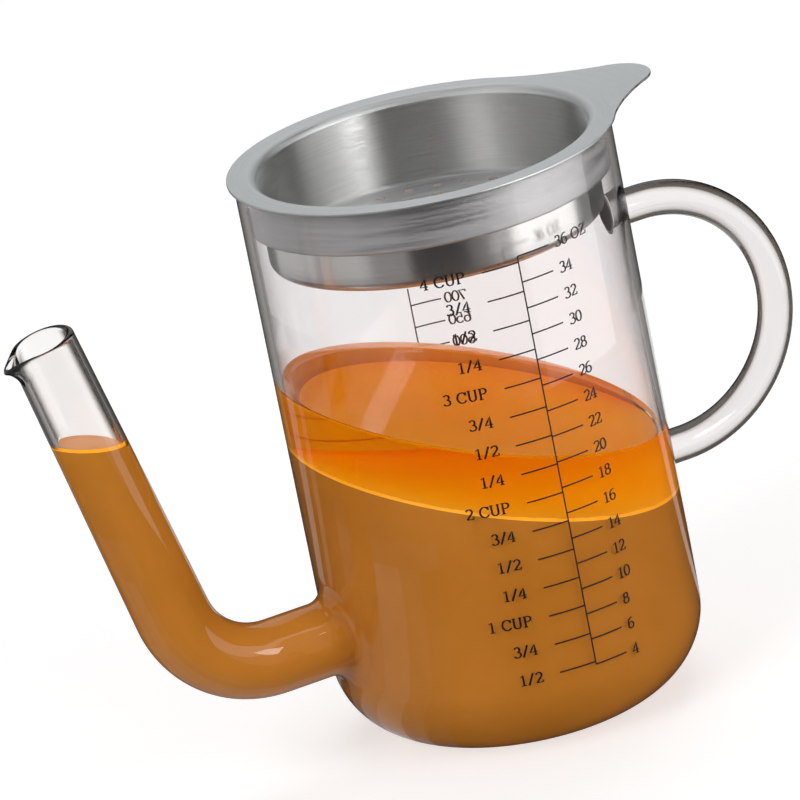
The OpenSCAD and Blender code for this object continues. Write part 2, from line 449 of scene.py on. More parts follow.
def drop_shape(circle_r, tip_r, reach):
    """Radius at each angle of a circle drawn out to a round tip that stands out by reach."""
    if reach <= 0:
        return np.full(turns.shape, float(circle_r))
    tip_x = circle_r - tip_r + reach
    touch = math.acos((circle_r - tip_r) / tip_x)
    tip_edge = math.atan2(tip_r * math.sin(touch), tip_x + tip_r * math.cos(touch))
    angle = np.abs(from_lip)
    flank = circle_r / np.cos(np.minimum(touch - np.minimum(angle, touch), 1.5))
    inside = np.maximum(tip_r**2 - (tip_x * np.sin(angle)) ** 2, 0)
    tip = tip_x * np.cos(angle) + np.sqrt(inside)
    return np.where(angle >= touch, circle_r, np.where(angle >= tip_edge, flank, tip))


def leg_radii(below, wall, tip_r, reach):
    """Radii round the leg at a distance below its mouth, outside (wall 0) or inside."""
    share = 1 - below / leg_length
    circle_r = spout_r + (spout_mouth_r - spout_r) * share - wall
    pull = max(0, 1 - below / lip_length) ** LIP_EASE
    return drop_shape(circle_r, tip_r, reach * pull)


LIP_EASE = 2.2
LIP_DIP_EASE = 1.4
lip_start = spout_mouth_r / 2
lip_end = spout_mouth_r + lip_reach


def lip_drop(radius, below):
    """How far each point near the mouth is lowered, so that the rim dips towards the lip."""
    forward = radius * np.cos(from_lip)
    share = np.clip((forward - lip_start) / (lip_end - lip_start), 0, 1)
    return lip_dip * share**LIP_DIP_EASE * max(0, 1 - below / lip_length)


def leg_rings(wall, tip_r, reach, first):
    """Rings up the leg, from its foot to a distance first below the mouth."""
    rings = []
    stops = list(np.linspace(leg_length, lip_length, round((leg_length - lip_length) / LEG_STEP)))
    stops += list(np.linspace(lip_length, 0, 14)[1:-1]) + [0]
    for below in stops[1:]:
        radius = leg_radii(below, wall, tip_r, reach)
        x, z = along_leg(leg_length - below)
        ring = spout_ring(x, z, math.pi / 2 - spout_lean, radius)
        sink = first * (1 - below / leg_length) ** 8
        drop = lip_drop(radius, below) + sink
        rings.append(ring - leg_axis * drop[:, None])
    return rings


def tube_rings(port, tube_r, fillet, wall, tip_r, reach, first):
    """All rings of one surface of the spout, from the wall to just under the rim."""
    root = port.root(tube_r, fillet)
    level_part = between(root[-1], spout_ring(bend_x, spout_z, 0, tube_r), 7)
    return root + level_part + bend_rings(tube_r) + leg_rings(wall, tip_r, reach, first)


inner_reach = lip_reach + spout_wall - lip_tip_wall
rim_half = spout_wall / 2
outside = tube_rings(spout_port, spout_r, spout_fillet_r, 0, lip_tip_r, lip_reach, rim_half)
inside = tube_rings(
    bore_port,
    spout_r - spout_wall,
    bore_fillet_r,
    spout_wall,
    lip_tip_r - lip_tip_wall,
    inner_reach,
    rim_half,
)
# The rim is a half round across the wall, which is thinner at the lip
half_across = (outside[-1] - inside[-1]) / 2
middle = (outside[-1] + inside[-1]) / 2
rise = np.linalg.norm(half_across, axis=1)[:, None]
rim_rings = [
    middle + half_across * math.cos(a) + leg_axis * rise * math.sin(a)
    for a in np.linspace(0, math.pi, 9)[1:-1]
]
outer_loop = spout_port.fill_window(spout_r + spout_fillet_r, 6)
inner_loop = bore_port.fill_window(spout_r - spout_wall + bore_fillet_r, 9)
spout_rings = [glass.add(ring) for ring in outside + rim_rings + inside[::-1]]
glass.strips([outer_loop] + spout_rings + [inner_loop])
print("rings in the spout:", len(spout_rings))

# %% [markdown]
# ## The handle
#
# The handle is a solid rod bent to a D. Both of its ends are fused to the wall with a small fillet,
# where the rod was pressed on while soft. The same ring is carried from one root to the other, so
# the ring's points run the other way round at the lower root.

# %% Sweep along the handle
HANDLE_STEPS = 72
handle_bend_r = (handle_top_z - handle_bottom_z) / 2
handle_mid_z = (handle_top_z + handle_bottom_z) / 2
handle_x = jug_r + handle_leg
around = top_port.turns


def handle_ring(bend):
    """A ring round the rod, at an angle round its half circle from the upper leg."""
    outward = top_port.out * math.sin(bend) + UP * math.cos(bend)
    middle = top_port.out * handle_x + UP * handle_mid_z + outward * handle_bend_r
    return (
        middle
        + top_port.side * (handle_r * np.cos(around))[:, None]
        + outward * (handle_r * np.sin(around))[:, None]
    )


top_root = top_port.root(handle_r, handle_fillet_r)
flip = (len(around) - np.arange(len(around))) % len(around)
bottom_root = [ring[flip] for ring in bottom_port.root(handle_r, handle_fillet_r)]
bend = [handle_ring(a) for a in np.linspace(0, math.pi, HANDLE_STEPS + 1)]
rod = top_root + between(top_root[-1], bend[0], 5) + bend[1:]
rod += between(bend[-1], bottom_root[-1], 5) + bottom_root[::-1][1:]
top_loop = top_port.fill_window(handle_r + handle_fillet_r, 3)
bottom_loop = bottom_port.fill_window(handle_r + handle_fillet_r, 3)[flip]
glass.strips([top_loop] + [glass.add(ring) for ring in rod] + [bottom_loop])
glass_jug = glass.to_object("glass_jug")
loose, volume = open_edges(glass_jug)
print(f"glass: {len(glass_jug.data.polygons)} faces, {loose} open edges, {volume:.0f} cubic mm")

# %% [markdown]
# ## Borosilicate glass
#
# Blown borosilicate has a fire-polished skin, so its roughness is nought. Its index is 1.47. Face on
# it takes up hardly any light. Seen edge on it looks grey-brown, because it gathers light from the
# dark sides of the room: that shade is painted into its colour, darker towards the edges by a Layer
# Weight node. Lamps have to reach what is inside, so for their rays the glass is clear, as thin glass
# nearly is.

# %% Glass material
GLASS_IOR = 1.47
# Painted shade of the glass from face on (0) to edge on (1), standing in for the dark sides of the room
PAINTED_EDGE_SHADES = [(0.6, "#F9F7F7"), (0.78, "#DAD6D4"), (0.92, "#8E8A86"), (1.0, "#2C2A28")]
# A solid rod is a strong lens, so it gathers more of the dark than a thin wall does: more shade is
# painted
PAINTED_ROD_SHADES = [(0.2, "#ECE9E8"), (0.31, "#BCB6B2"), (0.42, "#2E2823"), (1.0, "#040302")]
# The narrow tube bends light more than the jug does, so a dark line of painted shade is drawn on its
# wall
PAINTED_TUBE_SHADES = [(0.36, "#FBF9F8"), (0.5, "#A8A29E"), (0.62, "#3A3632"), (1.0, "#1A1816")]


def edge_tone(tree, tones, upward):
    """Painted shade that runs through (facing, hex) tones, sooner where a surface looks up."""
    facing = add_node(tree, "ShaderNodeLayerWeight", {"Blend": 0.5})
    place = add_node(tree, "ShaderNodeNewGeometry")
    normal = add_node(tree, "ShaderNodeSeparateXYZ", {"Vector": place.outputs["Normal"]})
    level = add_node(
        tree, "ShaderNodeMath", {0: normal.outputs["Z"], 1: upward}, operation="MULTIPLY"
    )
    raised = add_node(tree, "ShaderNodeMath", {0: level.outputs[0], 1: 0.0}, operation="MAXIMUM")
    sooner = add_node(tree, "ShaderNodeMath", {0: raised.outputs[0], 1: 1.0}, operation="ADD")
    turned_away = add_node(
        tree,
        "ShaderNodeMath",
        {0: facing.outputs["Facing"], 1: sooner.outputs[0]},
        operation="MULTIPLY",
    )
    edge = add_node(tree, "ShaderNodeValToRGB", {"Fac": turned_away.outputs[0]})
    ramp = edge.color_ramp
    for element, (position, tone) in zip(ramp.elements, (tones[0], tones[-1])):
        element.position = position
        element.color = to_linear(tone)
    for position, tone in tones[1:-1]:
        ramp.elements.new(position).color = to_linear(tone)
    return edge.outputs["Color"]


def let_lamps_through(tree, body):
    """Mixes a clear surface in for the rays of lamps, so that they light what is inside."""
    clear = add_node(tree, "ShaderNodeBsdfTransparent")
    path = add_node(tree, "ShaderNodeLightPath")
    mixed = add_node(tree, "ShaderNodeMixShader", {"Fac": path.outputs["Is Shadow Ray"]})
    tree.links.new(body.outputs["BSDF"], mixed.inputs[1])
    tree.links.new(clear.outputs["BSDF"], mixed.inputs[2])
    return mixed


def borosilicate(name, tones, upward=0.0):
    """Fire-polished borosilicate glass with given tones of painted shade from face on to edge on."""
    material, tree, output = new_material(name)
    body = add_node(
        tree,
        "ShaderNodeBsdfPrincipled",
        {
            "Base Color": edge_tone(tree, tones, upward),
            "Roughness": 0,
            "IOR": GLASS_IOR,
            "Transmission Weight": 1,
        },
    )
    tree.links.new(let_lamps_through(tree, body).outputs[0], output.inputs["Surface"])
    return material


blown_glass = borosilicate("borosilicate_blown", PAINTED_EDGE_SHADES)
# Shade of the dark room above the table is painted on the rod's upper side, in a band a quarter of it
# wide
rod_glass = borosilicate("borosilicate_rod", PAINTED_ROD_SHADES, 0.8)
tube_glass = borosilicate("borosilicate_tube", PAINTED_TUBE_SHADES)
wetted_glass, tree, output = new_material("borosilicate_wetted_by_fat")
clear = add_node(tree, "ShaderNodeBsdfTransparent", {"Color": to_linear("#F8F5F5")})
tree.links.new(clear.outputs["BSDF"], output.inputs["Surface"])
# The film hides most of what is behind it, as a smear of fat on cold glass does
FILM_SHARE = 0.7
fat_film, tree, output = new_material("fat_film_on_far_glass")
clear = add_node(tree, "ShaderNodeBsdfTransparent", {"Color": to_linear("#F8F5F5")})
film = add_node(tree, "ShaderNodeBsdfDiffuse", {"Color": to_linear("#FFB848")})
smeared = add_node(tree, "ShaderNodeMixShader", {"Fac": FILM_SHARE})
tree.links.new(clear.outputs["BSDF"], smeared.inputs[1])
tree.links.new(film.outputs["BSDF"], smeared.inputs[2])
tree.links.new(smeared.outputs[0], output.inputs["Surface"])
glass_jug.data.materials.append(blown_glass)
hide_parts("jug_body", "spout", "handle")
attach(glass_jug, "jug")
print("glass piece rides on the jug")

# %% [markdown]
# ## Gravy and fat
#
# The photograph shows the jug tipped back a little, so both liquids lie aslant in it: each surface is
# a plane that falls towards the handle. Where fat touches glass, light passes almost unbent, because
# both have nearly the same index. So the inside of the wall is cut along the two planes, and the band
# between them gets a material that lets light straight through. On the far side fat clings to the
# glass as a cloudy film, which keeps the layer from looking like tinted glass.

# %% The liquid surfaces
FALL_TO_HANDLE = 0.32
RISE_TO_BACK = 0.095
fat_height = 87.2
gravy_height = 70.6
spout_gravy_height = 111.6
spout_fall = 0.225
spout_surface_x = -112.0
MENISCUS_HEIGHT = 1.1
MENISCUS_WIDTH = 2.2
WETTABLE_LOW_Z = 30
WETTABLE_HIGH_Z = 150


def surface_z(height, x, y):
    """Height of a liquid surface at a place, from its height on the jug's axis."""
    return height - FALL_TO_HANDLE * x + RISE_TO_BACK * y


def spout_surface_z(x):
    """Height of the gravy's surface in the spout at a distance along X."""
    return spout_gravy_height - spout_fall * (x - spout_surface_x)


work = bmesh.new()
work.from_mesh(glass_jug.data)
level_normal = Vector((FALL_TO_HANDLE, -RISE_TO_BACK, 1)).normalized()


def is_inner_wall(face):
    """Whether a face of the glass is on the inside of the jug's wall, where liquid may reach."""
    middle = face.calc_center_median() / MM
    inside = math.hypot(middle.x, middle.y) < jug_r - jug_wall / 2
    return inside and WETTABLE_LOW_Z < middle.z < WETTABLE_HIGH_Z


for height in (gravy_height, fat_height + MENISCUS_HEIGHT):
    faces = [f for f in work.faces if is_inner_wall(f)]
    edges = {e for f in faces for e in f.edges}
    geometry = faces + list(edges) + list({v for f in faces for v in f.verts})
    bmesh.ops.bisect_plane(
        work, geom=geometry, plane_co=Vector((0, 0, height)) * MM, plane_no=level_normal, dist=1e-7
    )
WETTED_SLOT, ROD_SLOT, FILM_SLOT, TUBE_SLOT = 1, 2, 3, 4
FILM_FROM_Y = 8
wetted_count = 0
for face in work.faces:
    middle = face.calc_center_median() / MM
    above = middle.z - surface_z(gravy_height, middle.x, middle.y)
    below = middle.z - surface_z(fat_height + MENISCUS_HEIGHT, middle.x, middle.y)
    if is_inner_wall(face) and above > 0 > below:
        face.material_index = FILM_SLOT if middle.y > FILM_FROM_Y else WETTED_SLOT
        wetted_count += 1
    elif middle.x > jug_r + handle_fillet_r:
        face.material_index = ROD_SLOT
    elif middle.x < -(jug_r + spout_run) and middle.z > spout_surface_z(middle.x):
        face.material_index = TUBE_SLOT
work.to_mesh(glass_jug.data)
work.free()
glass_jug.data.materials.append(wetted_glass)
glass_jug.data.materials.append(rod_glass)
glass_jug.data.materials.append(fat_film)
glass_jug.data.materials.append(tube_glass)
print("faces of glass wetted by fat:", wetted_count)

# %% [markdown]
# ### The gravy
#
# Gravy is an emulsion with so much in it that it is opaque, so only its skin is modelled. It reaches
# a tenth of a millimetre into the glass: with no air between, the glass shows it magnified right to
# the outside, as the real one does.

# %% Gravy in the jug
LIQUID_COLUMNS = 120
INTO_GLASS = 0.1
# A band this deep at the top of the gravy's side is painted lighter: a painted light line where the
# gravy's surface meets the glass
PAINTED_LIGHT_RIM = 1.1
liquid_angles = np.arange(LIQUID_COLUMNS) * 2 * math.pi / LIQUID_COLUMNS
liquid_r = jug_inner_r + INTO_GLASS
wall_cos, wall_sin = np.cos(liquid_angles), np.sin(liquid_angles)


def wall_ring(radius, heights):
    """A ring of places at a radius and at one height, or one height for each angle."""
    z = np.broadcast_to(heights, wall_cos.shape)
    return np.stack([radius * wall_cos, radius * wall_sin, z], axis=-1)


def plane_ring(height, radius, lift=0):
    """A ring of places at a radius on a liquid surface."""
    return wall_ring(radius, surface_z(height, radius * wall_cos, radius * wall_sin) + lift)


gravy_shape = Shape()
corner = base_corner_r - jug_wall + INTO_GLASS
gravy_floor_z = base_t - INTO_GLASS
bend_middle_z = gravy_floor_z + corner
flat_r = liquid_r - corner
profile = [(flat_r * share, gravy_floor_z) for share in (0.3, 0.65)]
profile += arc((flat_r, bend_middle_z), corner, -90, 0, 24)
rings = [wall_ring(r, z) for r, z in profile]
rim_low = plane_ring(gravy_height, liquid_r, -PAINTED_LIGHT_RIM)
rings += between(rings[-1], rim_low, 15)
rings.append(plane_ring(gravy_height, liquid_r))
rings += [plane_ring(gravy_height, liquid_r * share) for share in (0.97, 0.9, 0.8, 0.6, 0.4, 0.2)]
numbers = [gravy_shape.add(ring) for ring in rings]
gravy_shape.strips(numbers)
gravy_shape.fan(numbers[0], (0, 0, gravy_floor_z))
gravy_shape.fan(numbers[-1], (0, 0, gravy_height))
gravy = gravy_shape.to_object("gravy")
gravy.data.set_sharp_from_angle(angle=math.radians(40))
print(f"gravy: {open_edges(gravy)[1] / 1000:.0f} ml")

# %% [markdown]
# ### The gravy in the spout
#
# The spout's filling fills the flare of the bore at its root, and is then swept along the same middle
# line as the bore. Each point of the last ring slides along the leg until it meets the surface.

# %% Gravy in the spout
spout_liquid = Shape()
bore_r = spout_r - spout_wall + INTO_GLASS
taper = (spout_r - spout_mouth_r) / leg_length
mouth_ring = bore_port.on_wall(bore_r + bore_fillet_r)
rings = [mouth_ring - spout_port.out * 2] + bore_port.root(bore_r, bore_fillet_r)
rings += [spout_ring(x, spout_z, 0, bore_r) for x in (56, 63, bend_x)]
rings += bend_rings(bore_r)


def spout_surface_gap(place):
    """How far a place is above the gravy's surface in the spout."""
    return place[:, 2] - spout_surface_z(place[:, 0])


foot_ring = rings[-1]
top_ring = foot_ring + leg_axis * 40
for _ in range(12):
    gap = spout_surface_gap(top_ring)
    along = ((top_ring - foot_ring) @ leg_axis) - gap / (leg_axis[2] + spout_fall * leg_axis[0])
    narrowed = 1 - taper * along / bore_r
    middle = spout_port.out * leg_x + UP * leg_z
    top_ring = middle + (foot_ring - middle) * narrowed[:, None] + leg_axis * along[:, None]
rim_ring = top_ring - leg_axis * PAINTED_LIGHT_RIM
rings += between(foot_ring, rim_ring, 27)
rings.append(top_ring)
middle = top_ring.mean(axis=0)
lift = UP * 0.5
rings.append(middle + (top_ring - middle) * 0.93 - lift * 0.7)
rings += [middle + (top_ring - middle) * share - lift for share in (0.8, 0.5, 0.25)]
numbers = [spout_liquid.add(ring) for ring in rings]
spout_liquid.strips(numbers)
spout_liquid.fan(numbers[0], rings[0].mean(axis=0))
spout_liquid.fan(numbers[-1], rings[-1].mean(axis=0))
spout_gravy = spout_liquid.to_object("spout_gravy")
spout_gravy.data.set_sharp_from_angle(angle=math.radians(40))
print("spout gravy: open edges", open_edges(spout_gravy)[0])

# %% [markdown]
# ### The fat
#
# Melted fat is clear and orange-yellow: it colours light that passes, more so the further it goes,
# which is what a volume absorption does. Only its top is a surface that bends and mirrors light. It
# climbs the glass in a small meniscus, which catches a pale line.

# %% Fat layer
fat_shape = Shape()
SIDE_STEPS = 5
UNDER_FAT = 0.15
rings = [plane_ring(gravy_height - UNDER_FAT, liquid_r * share) for share in (0.2, 0.5, 0.8, 1)]
wall_top = plane_ring(fat_height, liquid_r, MENISCUS_HEIGHT)
bottom_edge = rings[-1]
rings += between(bottom_edge, wall_top, SIDE_STEPS)
side_rows = len(rings) - 1
for share in (0.03, 0.1, 0.2, 0.35, 0.55, 0.8, 1):
    climb = MENISCUS_HEIGHT * (1 - share) ** 2.5
    rings.append(plane_ring(fat_height, liquid_r - MENISCUS_WIDTH * share, climb))
rings += [plane_ring(fat_height, jug_inner_r * share) for share in (0.85, 0.7, 0.5, 0.25)]
numbers = [fat_shape.add(ring) for ring in rings]
fat_shape.fan(numbers[0], (0, 0, gravy_height - UNDER_FAT))
fat_shape.strips(numbers[: side_rows + 1])
fat_shape.strips(numbers[side_rows:])
fat_shape.fan(numbers[-1], (0, 0, fat_height))
fat_layer = fat_shape.to_object("fat_layer")
fat_layer.data.set_sharp_from_angle(angle=math.radians(50))
print(f"fat: {open_edges(fat_layer)[1] / 1000:.0f} ml")

# %% [markdown]
# ### The look of gravy and fat
#
# Gravy is opaque and a little cloudy, so it is a plain matt body under the gloss of the glass. Its top
# under the fat and a narrow band just under its rim are painted much lighter, with a glow of their own:
# painted light for the light that wanders about in the fat. The fat itself has no colour on its
# surface: all of its colour comes from its depth.


# %% Cooked gravy
def gravy_material(name, dark, light, gloss, glow):
    """Opaque gravy with faint clouds between two colours, and painted light (its glow) for the light
    that fat above it gathers.
    """
    material, tree, output = new_material(name)
    place = add_node(tree, "ShaderNodeTexCoord")
    clouds = add_node(
        tree,
        "ShaderNodeTexNoise",
        {"Vector": place.outputs["Object"], "Scale": 24.0, "Detail": 3.0, "Roughness": 0.5},
    )
    hue = add_node(tree, "ShaderNodeValToRGB", {"Fac": clouds.outputs["Fac"]})
    for element, (position, tone) in zip(hue.color_ramp.elements, ((0.35, dark), (0.7, light))):
        element.position = position
        element.color = to_linear(tone)
    body = add_node(
        tree,
        "ShaderNodeBsdfPrincipled",
        {
            "Base Color": hue.outputs["Color"],
            "Roughness": 0.35,
            "IOR": 1.36,
            "Specular IOR Level": gloss,
            "Emission Color": to_linear("#FF9418"),
            "Emission Strength": glow,
        },
    )
    tree.links.new(body.outputs["BSDF"], output.inputs["Surface"])
    return material


# Where gravy wets glass or lies under fat there is no step in the index, so it has no gloss there
cooked_gravy = gravy_material("cooked_gravy_emulsion", "#BC7826", "#C88232", 0.0, 0.0)
# Painted light: the gravy's top under the fat and the band below its rim are drawn much lighter, with a
# glow
gravy_with_painted_light = gravy_material("gravy_top_and_rim_painted_light", "#FFAE2C", "#FFBC3C", 0.0, 0.25)
# Painted light: the open top of the gravy in the spout is drawn lighter and paler than the gravy
# itself; its gloss is real
gravy_open_top_painted_light = gravy_material("gravy_open_top_with_painted_light", "#DE9860", "#E8A46C", 0.5, 0.0)

# %% Melted fat
FAT_IOR = 1.46
FAT_PER_METRE = 75
LEVEL_ENOUGH = 0.15
melted_fat, tree, output = new_material("melted_fat")
body = add_node(
    tree,
    "ShaderNodeBsdfPrincipled",
    {
        "Base Color": to_linear("#FFFFFF"),
        "Roughness": 0,
        "IOR": FAT_IOR,
        "Specular IOR Level": 0.1,
        "Transmission Weight": 1,
    },
)
facing = add_node(tree, "ShaderNodeNewGeometry")
normal = add_node(tree, "ShaderNodeSeparateXYZ", {"Vector": facing.outputs["True Normal"]})
steep = add_node(tree, "ShaderNodeMath", {0: normal.outputs["Z"]}, operation="ABSOLUTE")
is_side = add_node(
    tree, "ShaderNodeMath", {0: steep.outputs[0], 1: LEVEL_ENOUGH}, operation="LESS_THAN"
)
against_glass = add_node(tree, "ShaderNodeBsdfTransparent")
surface = add_node(tree, "ShaderNodeMixShader", {"Fac": is_side.outputs[0]})
tree.links.new(let_lamps_through(tree, body).outputs[0], surface.inputs[1])
tree.links.new(against_glass.outputs["BSDF"], surface.inputs[2])
volume = add_node(
    tree,
    "ShaderNodeVolumeAbsorption",
    {"Color": to_linear("#FAF100"), "Density": FAT_PER_METRE},
)
tree.links.new(surface.outputs[0], output.inputs["Surface"])
tree.links.new(volume.outputs["Volume"], output.inputs["Volume"])
fat_layer.data.materials.append(melted_fat)
for piece in (gravy, spout_gravy):
    piece.data.materials.append(cooked_gravy)
gravy.data.materials.append(gravy_with_painted_light)
# The top and the band below the rim get the painted light
for face in gravy.data.polygons:
    middle = face.center / MM
    rim_gap = surface_z(gravy_height, middle.x, middle.y) - middle.z
    face.material_index = int(face.normal.z > 0.5 or rim_gap < PAINTED_LIGHT_RIM * 0.9)
OPEN_SLOT, RIM_SLOT = 1, 2
spout_gravy.data.materials.append(gravy_open_top_painted_light)
spout_gravy.data.materials.append(gravy_with_painted_light)
# The open top gets the painted light
for face in spout_gravy.data.polygons:
    gap = spout_surface_gap(np.array([face.center / MM]))[0]
    if face.normal.z > 0.5 and face.center.z / MM > spout_gravy_height - 8:
        face.material_index = OPEN_SLOT
    elif gap > -PAINTED_LIGHT_RIM * 0.9:
        face.material_index = RIM_SLOT
for piece in (gravy, spout_gravy, fat_layer):
    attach(piece, "jug")
print("liquids ride on the jug")

# %% [markdown]
# ## The steel strainer
#
# The strainer was drawn from one sheet: flat flange, a roll into the mouth, the wall, a tight turn
# and the drilled floor. All of that is one closed mesh with the sheet's thickness. Its columns are
# closer together near the tab, so that the tab's round end stays round.

# %% Strainer sizes
sheet_t = 0.8
cup_r = 45.5
cup_inner_r = cup_r - sheet_t
cup_corner_r = 2.5
roll_r = 3.0
roll_x = cup_inner_r + roll_r
edge_r = 0.25
hole_r = 1.3
hole_pitch = 7.9
hole_margin = 6.8
floor_fill_r = 41.8
tab_reach = 18.1
tab_tip_r = 12
tab_flank_r = 80
tab_turn = math.radians(4.5)
tab_root_r = flange_r - 0.1
tab_tip_x = flange_r + tab_reach - tab_tip_r
flank_x = (
    (tab_root_r + tab_flank_r) ** 2 - (tab_tip_r + tab_flank_r) ** 2 + tab_tip_x**2
) / (2 * tab_tip_x)
flank_y = math.sqrt((tab_root_r + tab_flank_r) ** 2 - flank_x**2)
print(f"tab tip at {tab_tip_x + tab_tip_r:.1f} mm from the axis")

# %% Outline of the flange and its tab
STEEL_COLUMNS = 320
CROWDING = 0.72
even = np.arange(STEEL_COLUMNS) * 2 * math.pi / STEEL_COLUMNS
steel_angles = even - CROWDING * np.sin(even)


def outline_radius(angle):
    """Radius of the flange's edge at an angle from the tab's middle."""
    angle = abs((angle + math.pi) % (2 * math.pi) - math.pi)
    end = math.atan2(flank_y, flank_x - tab_tip_x)
    tip_end = math.atan2(tab_tip_r * math.sin(end), tab_tip_x + tab_tip_r * math.cos(end))
    if angle < tip_end:
        reach = tab_tip_x * math.sin(angle)
        return tab_tip_x * math.cos(angle) + math.sqrt(tab_tip_r**2 - reach**2)
    if angle < math.atan2(flank_y, flank_x):
        along = flank_x * math.cos(angle) + flank_y * math.sin(angle)
        across = flank_x * math.sin(angle) - flank_y * math.cos(angle)
        return max(along - math.sqrt(max(tab_flank_r**2 - across**2, 0)), flange_r)
    return flange_r


edge_radii = np.array([outline_radius(a) for a in steel_angles])


def steel_ring(radii, z):
    """A ring of the strainer at one radius, or one for each column, turned to face the tab."""
    radii = np.broadcast_to(radii, steel_angles.shape)
    x, y = radii * np.cos(steel_angles + tab_turn), radii * np.sin(steel_angles + tab_turn)
    return np.stack([x, y, np.full(x.shape, float(z))], axis=-1)


# %% Cup, flange and tab as one sheet
cup_shape = Shape()
floor_top_z = cup_floor_z + sheet_t
bend_x_cup, bend_z_cup = cup_r - cup_corner_r, cup_floor_z + cup_corner_r
roll_z = flange_top_z - roll_r
inner_profile = [(floor_fill_r, floor_top_z)]
inner_profile += arc((bend_x_cup, bend_z_cup), cup_corner_r - sheet_t, -90, 0, 8)
inner_profile += [(cup_inner_r, z) for z in np.linspace(bend_z_cup, roll_z, 8)[1:-1]]
inner_profile += arc((roll_x, roll_z), roll_r, 180, 90, 12)
outer_profile = arc((roll_x, roll_z), roll_r - sheet_t, 90, 180, 12)
outer_profile += [(cup_r, z) for z in np.linspace(roll_z, bend_z_cup, 8)[1:-1]]
outer_profile += arc((bend_x_cup, bend_z_cup), cup_corner_r, 0, -90, 10)
outer_profile += [(floor_fill_r, cup_floor_z)]
rings = [steel_ring(r, z) for r, z in inner_profile]
SPREAD = (0.25, 0.5, 0.75, 0.94)
rings += [steel_ring(roll_x + (edge_radii - edge_r - roll_x) * s, flange_top_z) for s in SPREAD]
rim_middle_z = flange_top_z - edge_r
for a in np.radians(np.linspace(90, 0, 5)):
    rings.append(
        steel_ring(edge_radii - edge_r + edge_r * math.cos(a), rim_middle_z + edge_r * math.sin(a))
    )
under_z = flange_top_z - sheet_t
for a in np.radians(np.linspace(0, -90, 5)):
    rings.append(
        steel_ring(
            edge_radii - edge_r + edge_r * math.cos(a), under_z + edge_r + edge_r * math.sin(a)
        )
    )
rings += [steel_ring(roll_x + (edge_radii - edge_r - roll_x) * s, under_z) for s in SPREAD[::-1]]
rings += [steel_ring(r, z) for r, z in outer_profile]
cup_rings = [cup_shape.add(ring) for ring in rings]
cup_shape.strips(cup_rings)
strainer_cup = cup_shape.to_object("steel_strainer_cup")
print("rings in the cup:", len(cup_rings))

# %% [markdown]
# ### The drilled floor
#
# The holes lie in rings, as evenly spaced as each ring allows. A flat face with holes in it is best
# left to Blender's triangle fill: it gets the round edge of the plate and the edges of all the holes,
# and fills what lies between them.

# %% Punch the floor
HOLE_SIDES = 18
hole_ring_r = cup_inner_r - hole_margin
ring_count = round(hole_ring_r / hole_pitch)
hole_places = []
for ring in range(ring_count + 1):
    ring_r = hole_ring_r - (ring_count - ring) * hole_pitch
    holes = max(1, round(2 * math.pi * ring_r / hole_pitch))
    ring_r = ring_r if holes > 1 else 0
    for i in range(holes):
        a = 2 * math.pi * i / holes + tab_turn
        hole_places.append((ring_r * math.cos(a), ring_r * math.sin(a)))
work = bmesh.new()
work.from_mesh(strainer_cup.data)
rims = {}
for z in (floor_top_z, cup_floor_z):
    edges = [
        e
        for e in work.edges
        if e.is_boundary and all(abs(v.co.z / MM - z) < 0.01 for v in e.verts)
    ]
    for number, (x, y) in enumerate(hole_places):
        corners = []
        for k in range(HOLE_SIDES):
            a = 2 * math.pi * k / HOLE_SIDES
            corners.append(
                work.verts.new(
                    Vector((x + hole_r * math.cos(a), y + hole_r * math.sin(a), z)) * MM
                )
            )
        rims[z, number] = corners
        edges += [
            work.edges.new((corners[k], corners[(k + 1) % HOLE_SIDES])) for k in range(HOLE_SIDES)
        ]
    bmesh.ops.triangle_fill(work, edges=edges, use_beauty=True, use_dissolve=False)
for number in range(len(hole_places)):
    high_rim, low_rim = rims[floor_top_z, number], rims[cup_floor_z, number]
    for k in range(HOLE_SIDES):
        after = (k + 1) % HOLE_SIDES
        work.faces.new((high_rim[k], high_rim[after], low_rim[after], low_rim[k]))
bmesh.ops.recalc_face_normals(work, faces=work.faces)
OUTSIDE_SLOT, INSIDE_SLOT = 1, 2
for face in work.faces:
    face.smooth = True
    middle = face.calc_center_median() / MM
    reach = math.hypot(middle.x, middle.y)
    under_flange = abs(middle.z - under_z) < 0.05 and reach > roll_x
    outside_wall = reach > cup_inner_r + 0.3 and middle.z < roll_z
    below = middle.z < cup_floor_z + 0.05
    if outside_wall or below or under_flange:
        face.material_index = OUTSIDE_SLOT
    elif reach < cup_inner_r + 1 and floor_top_z + 0.3 < middle.z < roll_z + 1:
        face.material_index = INSIDE_SLOT
work.to_mesh(strainer_cup.data)
work.free()
strainer_cup.data.set_sharp_from_angle(angle=math.radians(35))
print("holes:", len(hole_places), "open edges:", open_edges(strainer_cup)[0])

# %% [markdown]
# ### The collar
#
# A second pressed ring hangs under the flange and centres the strainer in the glass. Its section is
# an L with the foot turned in towards the cup.

# %% Collar
collar_t = 0.8
collar_inner_r = collar_r - collar_t
foot_r = cup_r + 0.1
collar_top_z = flange_top_z - sheet_t
press_r = 0.8
profile = [(collar_inner_r, collar_top_z), (collar_r, collar_top_z)]
profile += [(collar_r, z) for z in np.linspace(collar_top_z, collar_bottom_z + press_r, 7)[1:-1]]
profile += arc((collar_r - press_r, collar_bottom_z + press_r), press_r, 0, -90, 6)
profile += [(foot_r, collar_bottom_z), (foot_r, collar_bottom_z + collar_t)]
profile += [(collar_inner_r, collar_bottom_z + collar_t)]
collar_shape = Shape()
numbers = collar_shape.add(turned(profile, 256))
collar_shape.strips([*numbers, numbers[0]])
collar = collar_shape.to_object("steel_collar")
collar.data.set_sharp_from_angle(angle=math.radians(35))
print("collar: open edges", open_edges(collar)[0])

